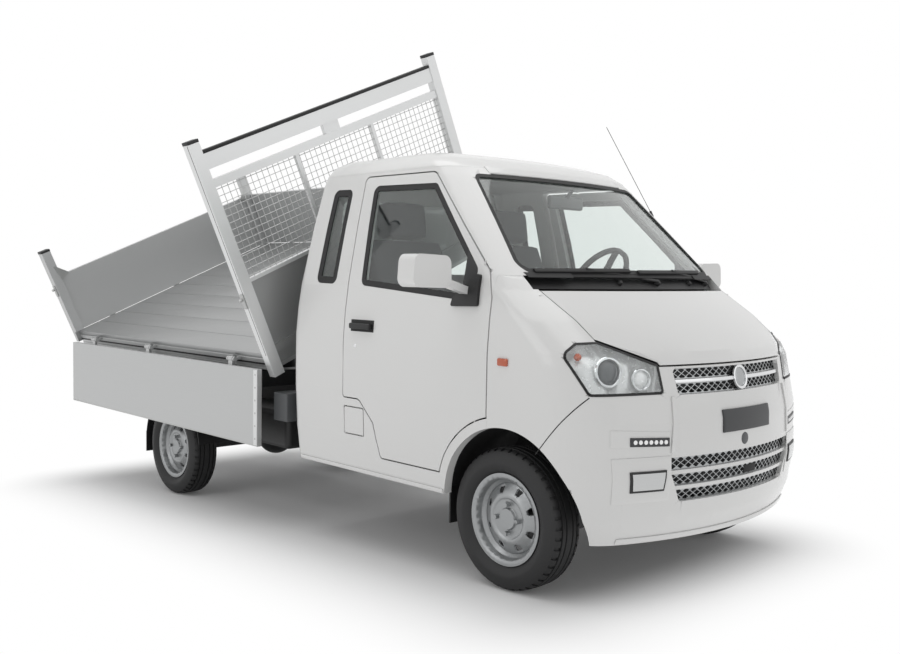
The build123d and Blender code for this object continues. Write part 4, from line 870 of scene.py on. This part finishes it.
# Posts of the bed: caps, grooves, gussets and board latches
POST_INNER, POST_OUTER = 758.0, 818.0
HEAD_X0, HEAD_X1 = BED_FRONT + 0.4, BED_FRONT + 50.0
REAR_X0, REAR_X1 = BED_REAR - 34.0, BED_REAR + 24.0
HEAD_TOP, REAR_TOP = FLOOR_Z + 1080.0, FLOOR_Z + 560.0
CAP_LIP = 1.2
LATCH_Z = FLOOR_Z + 300.0
settle(slab((HEAD_X0 + 1, -757, FLOOR_Z + 1022), (HEAD_X1 - 1, 757, FLOOR_Z + 1038), 2.5),
       "headboard_strip", "bed", trim_rubber, TIPPED)
for side, sign in (("right", -1), ("left", 1)):
    for name, x0, x1, top, tall, latch_x in (("head", HEAD_X0, HEAD_X1, HEAD_TOP, 16.5, HEAD_X0 + 25.0),
                                             ("rear", REAR_X0, REAR_X1, REAR_TOP, 15.5, BED_REAR - 5.0)):
        cap = slab((x0 - CAP_LIP, sign * (POST_INNER - CAP_LIP), top),
                   (x1 + CAP_LIP, sign * (POST_OUTER + CAP_LIP), top + tall), 2.5)
        settle(cap, "%s_post_cap_%s" % (name, side), "bed", moulded_black, TIPPED)
        plate = slab((latch_x - 14, sign * (POST_OUTER - 1), LATCH_Z - 38),
                     (latch_x + 14, sign * (POST_OUTER + 8), LATCH_Z + 38), 3.0)
        settle(plate, "%s_latch_plate_%s" % (name, side), "bed", zinc_plate, TIPPED)
        knob = round_bar((latch_x, sign * (POST_OUTER + 2), LATCH_Z + 12),
                         (latch_x, sign * (POST_OUTER + 24), LATCH_Z + 12), 8.0, 3.0)
        settle(knob, "%s_latch_knob_%s" % (name, side), "bed", zinc_plate, TIPPED)
    groove = slab((HEAD_X0 + 36, sign * (POST_OUTER - 0.4), FLOOR_Z + 8),
                  (HEAD_X0 + 39, sign * (POST_OUTER + 0.6), HEAD_TOP - 2), 0.3)
    settle(groove, "head_post_groove_" + side, "bed", trim_rubber, TIPPED)
    triangle = [(sign * (POST_OUTER - inward), FLOOR_Z + up)
                for inward, up in ((33, 471), (120, 387), (58, 358))]
    gusset = face_outwards(sheet(rounded(triangle, 6), lambda y, z: (REAR_X1, y, z)), (1, 0, 0))
    settle(thicken(gusset, 4.0, 1.0), "post_gusset_" + side, "bed", zinc_plate, TIPPED)

# Hanging right board: end strip with rivets and a top edge
BOARD_INNER = -794.0
RIVETS, FIRST_RIVET_Z, RIVET_PITCH = 6, FLOOR_Z + 30.0, 64.0
RIVET_X = BED_FRONT - 25.0
settle(slab((BED_FRONT - 42, BOARD_INNER - 0.5, FLOOR_Z + 6),
            (BED_FRONT - 8, BOARD_INNER + 1, FLOOR_Z + 382), 0.5),
       "board_end_strip", "side_board_right", bright_aluminium, HANGING)
for i in range(RIVETS):
    z = FIRST_RIVET_Z + RIVET_PITCH * i
    rivet = round_bar((RIVET_X, BOARD_INNER, z), (RIVET_X, BOARD_INNER + 2.5, z), 5.0, 1.0, 16)
    settle(rivet, "board_rivet_%d" % i, "side_board_right", zinc_plate, HANGING)
settle(slab((BED_REAR + 31, BOARD_INNER - 27, FLOOR_Z + 379),
            (BED_FRONT - 7, BOARD_INNER, FLOOR_Z + 388.2), 2.0),
       "board_top_edge", "side_board_right", zinc_plate, HANGING)

# Wire net in the headboard's upper half
NET_X, NET_LOW, NET_HIGH = BED_FRONT + 25.2, FLOOR_Z + 392.0, FLOOR_Z + 860.0
NET_PITCH, NET_WIRE, NET_UPRIGHTS, NET_LINES = 34.0, 1.7, 45, 14
wire = round_bar((NET_X, -748, NET_LOW), (NET_X, -748, NET_HIGH), NET_WIRE, 0.4, 8)
modify(wire, "ARRAY", count=NET_UPRIGHTS, use_relative_offset=False, use_constant_offset=True,
       constant_offset_displace=(0, NET_PITCH * MM, 0))
line = round_bar((NET_X + 2.6, -758, NET_LOW + 12), (NET_X + 2.6, 758, NET_LOW + 12), NET_WIRE, 0.4, 8)
modify(line, "ARRAY", count=NET_LINES, use_relative_offset=False, use_constant_offset=True,
       constant_offset_displace=(0, 0, NET_PITCH * MM))
net = settle(join([wire, line]), "headboard_net", "bed", zinc_plate, TIPPED)
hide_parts("headboard_mesh")


# Studio floor: pale paper that takes the shadow near the truck and fades to white around it
SHADOW_HALF, SHADOW_FADE = (1.8, 0.7, 0.0), 0.75
WHITE = (1, 1, 1, 1)
bpy.ops.object.select_all(action="DESELECT")
bpy.ops.mesh.primitive_plane_add(size=400.0, location=(0, 0, 0))
floor = bpy.context.active_object
floor.name = "studio_floor"
paper = bpy.data.materials.new("studio_paper")
paper.use_nodes = True
tree = paper.node_tree
tree.nodes.remove(tree.nodes["Principled BSDF"])
place = add(tree, "ShaderNodeTexCoord")
beside = add(tree, "ShaderNodeVectorMath", None, {0: place.outputs["Object"]}, operation="ABSOLUTE")
beside = add(tree, "ShaderNodeVectorMath", {1: SHADOW_HALF}, {0: beside.outputs[0]}, operation="SUBTRACT")
beside = add(tree, "ShaderNodeVectorMath", {1: (0.0, 0.0, 0.0)}, {0: beside.outputs[0]}, operation="MAXIMUM")
away = add(tree, "ShaderNodeVectorMath", None, {0: beside.outputs[0]}, operation="LENGTH")
fade = add(tree, "ShaderNodeMapRange", {"From Min": 0.0, "From Max": SHADOW_FADE},
           {"Value": away.outputs["Value"]}, interpolation_type="SMOOTHSTEP")
matt = add(tree, "ShaderNodeBsdfDiffuse", {"Color": linear("#F2F2F2")})
lift = add(tree, "ShaderNodeEmission", {"Color": WHITE, "Strength": 0.04})
matt = add(tree, "ShaderNodeAddShader", None, {0: matt.outputs[0], 1: lift.outputs[0]})
white = add(tree, "ShaderNodeEmission", {"Color": WHITE, "Strength": 1.0})
both = add(tree, "ShaderNodeMixShader", None, {0: fade.outputs[0], 1: matt.outputs[0], 2: white.outputs[0]})
tree.links.new(both.outputs[0], tree.nodes["Material Output"].inputs["Surface"])
floor.data.materials.append(paper)

# World: white to the eye, in metal and through glass, and a plain soft light on the rest
world = bpy.data.worlds.new("studio_world")
world.use_nodes = True
bpy.context.scene.world = world
tree = world.node_tree
ray = add(tree, "ShaderNodeLightPath")
seen = add(tree, "ShaderNodeMath", None,
           {0: ray.outputs["Is Camera Ray"], 1: ray.outputs["Is Transmission Ray"]}, operation="MAXIMUM")
seen = add(tree, "ShaderNodeMath", None, {0: seen.outputs[0], 1: ray.outputs["Is Glossy Ray"]},
           operation="MAXIMUM")
level = add(tree, "ShaderNodeMapRange", {"To Min": 0.46, "To Max": 1.0}, {"Value": seen.outputs[0]})
tree.nodes["Background"].inputs["Color"].default_value = WHITE
tree.links.new(level.outputs[0], tree.nodes["Background"].inputs["Strength"])

# Soft boxes: place, aim, size in metres, watts
for name, spot, aim, size, power in (("soft_top", (0.5, -0.5, 6.0), (0, 0, 1), 6.0, 158.0),
                                     ("soft_front", (6.0, 1.5, 3.0), (1, 0, 1), 4.0, 14.0),
                                     ("soft_side", (-1.0, -7.0, 3.5), (0, 0, 1), 4.0, 50.0)):
    bpy.ops.object.light_add(type="AREA", location=spot)
    lamp = bpy.context.active_object
    lamp.name = name
    lamp.data.size = size
    lamp.data.energy = power
    lamp.rotation_euler = (Vector(aim) - Vector(spot)).to_track_quat("-Z", "Y").to_euler()

# Camera fitted to the photograph
FOCAL_PIXELS, PHOTO_PIXELS, SENSOR_MM = 982.65, 900.0, 36.0
CAMERA_PLACE = (4.2897, -3.3638, 1.1464)
CAMERA_RIGHT = Vector((0.68114, 0.73211, -0.00801))
CAMERA_UP = Vector((-0.01562, 0.02547, 0.99955))
CAMERA_BACK = Vector((0.73198, -0.68071, 0.02878))
camera_data = bpy.data.cameras.new("photo_camera")
camera_data.lens = FOCAL_PIXELS * SENSOR_MM / PHOTO_PIXELS
camera_data.sensor_width = SENSOR_MM
camera = bpy.data.objects.new("photo_camera", camera_data)
bpy.context.scene.collection.objects.link(camera)
turn = Matrix((CAMERA_RIGHT, CAMERA_UP, CAMERA_BACK)).transposed().to_4x4()
camera.matrix_world = Matrix.Translation(CAMERA_PLACE) @ turn
bpy.context.scene.camera = camera
bpy.context.scene.view_settings.view_transform = "Standard"
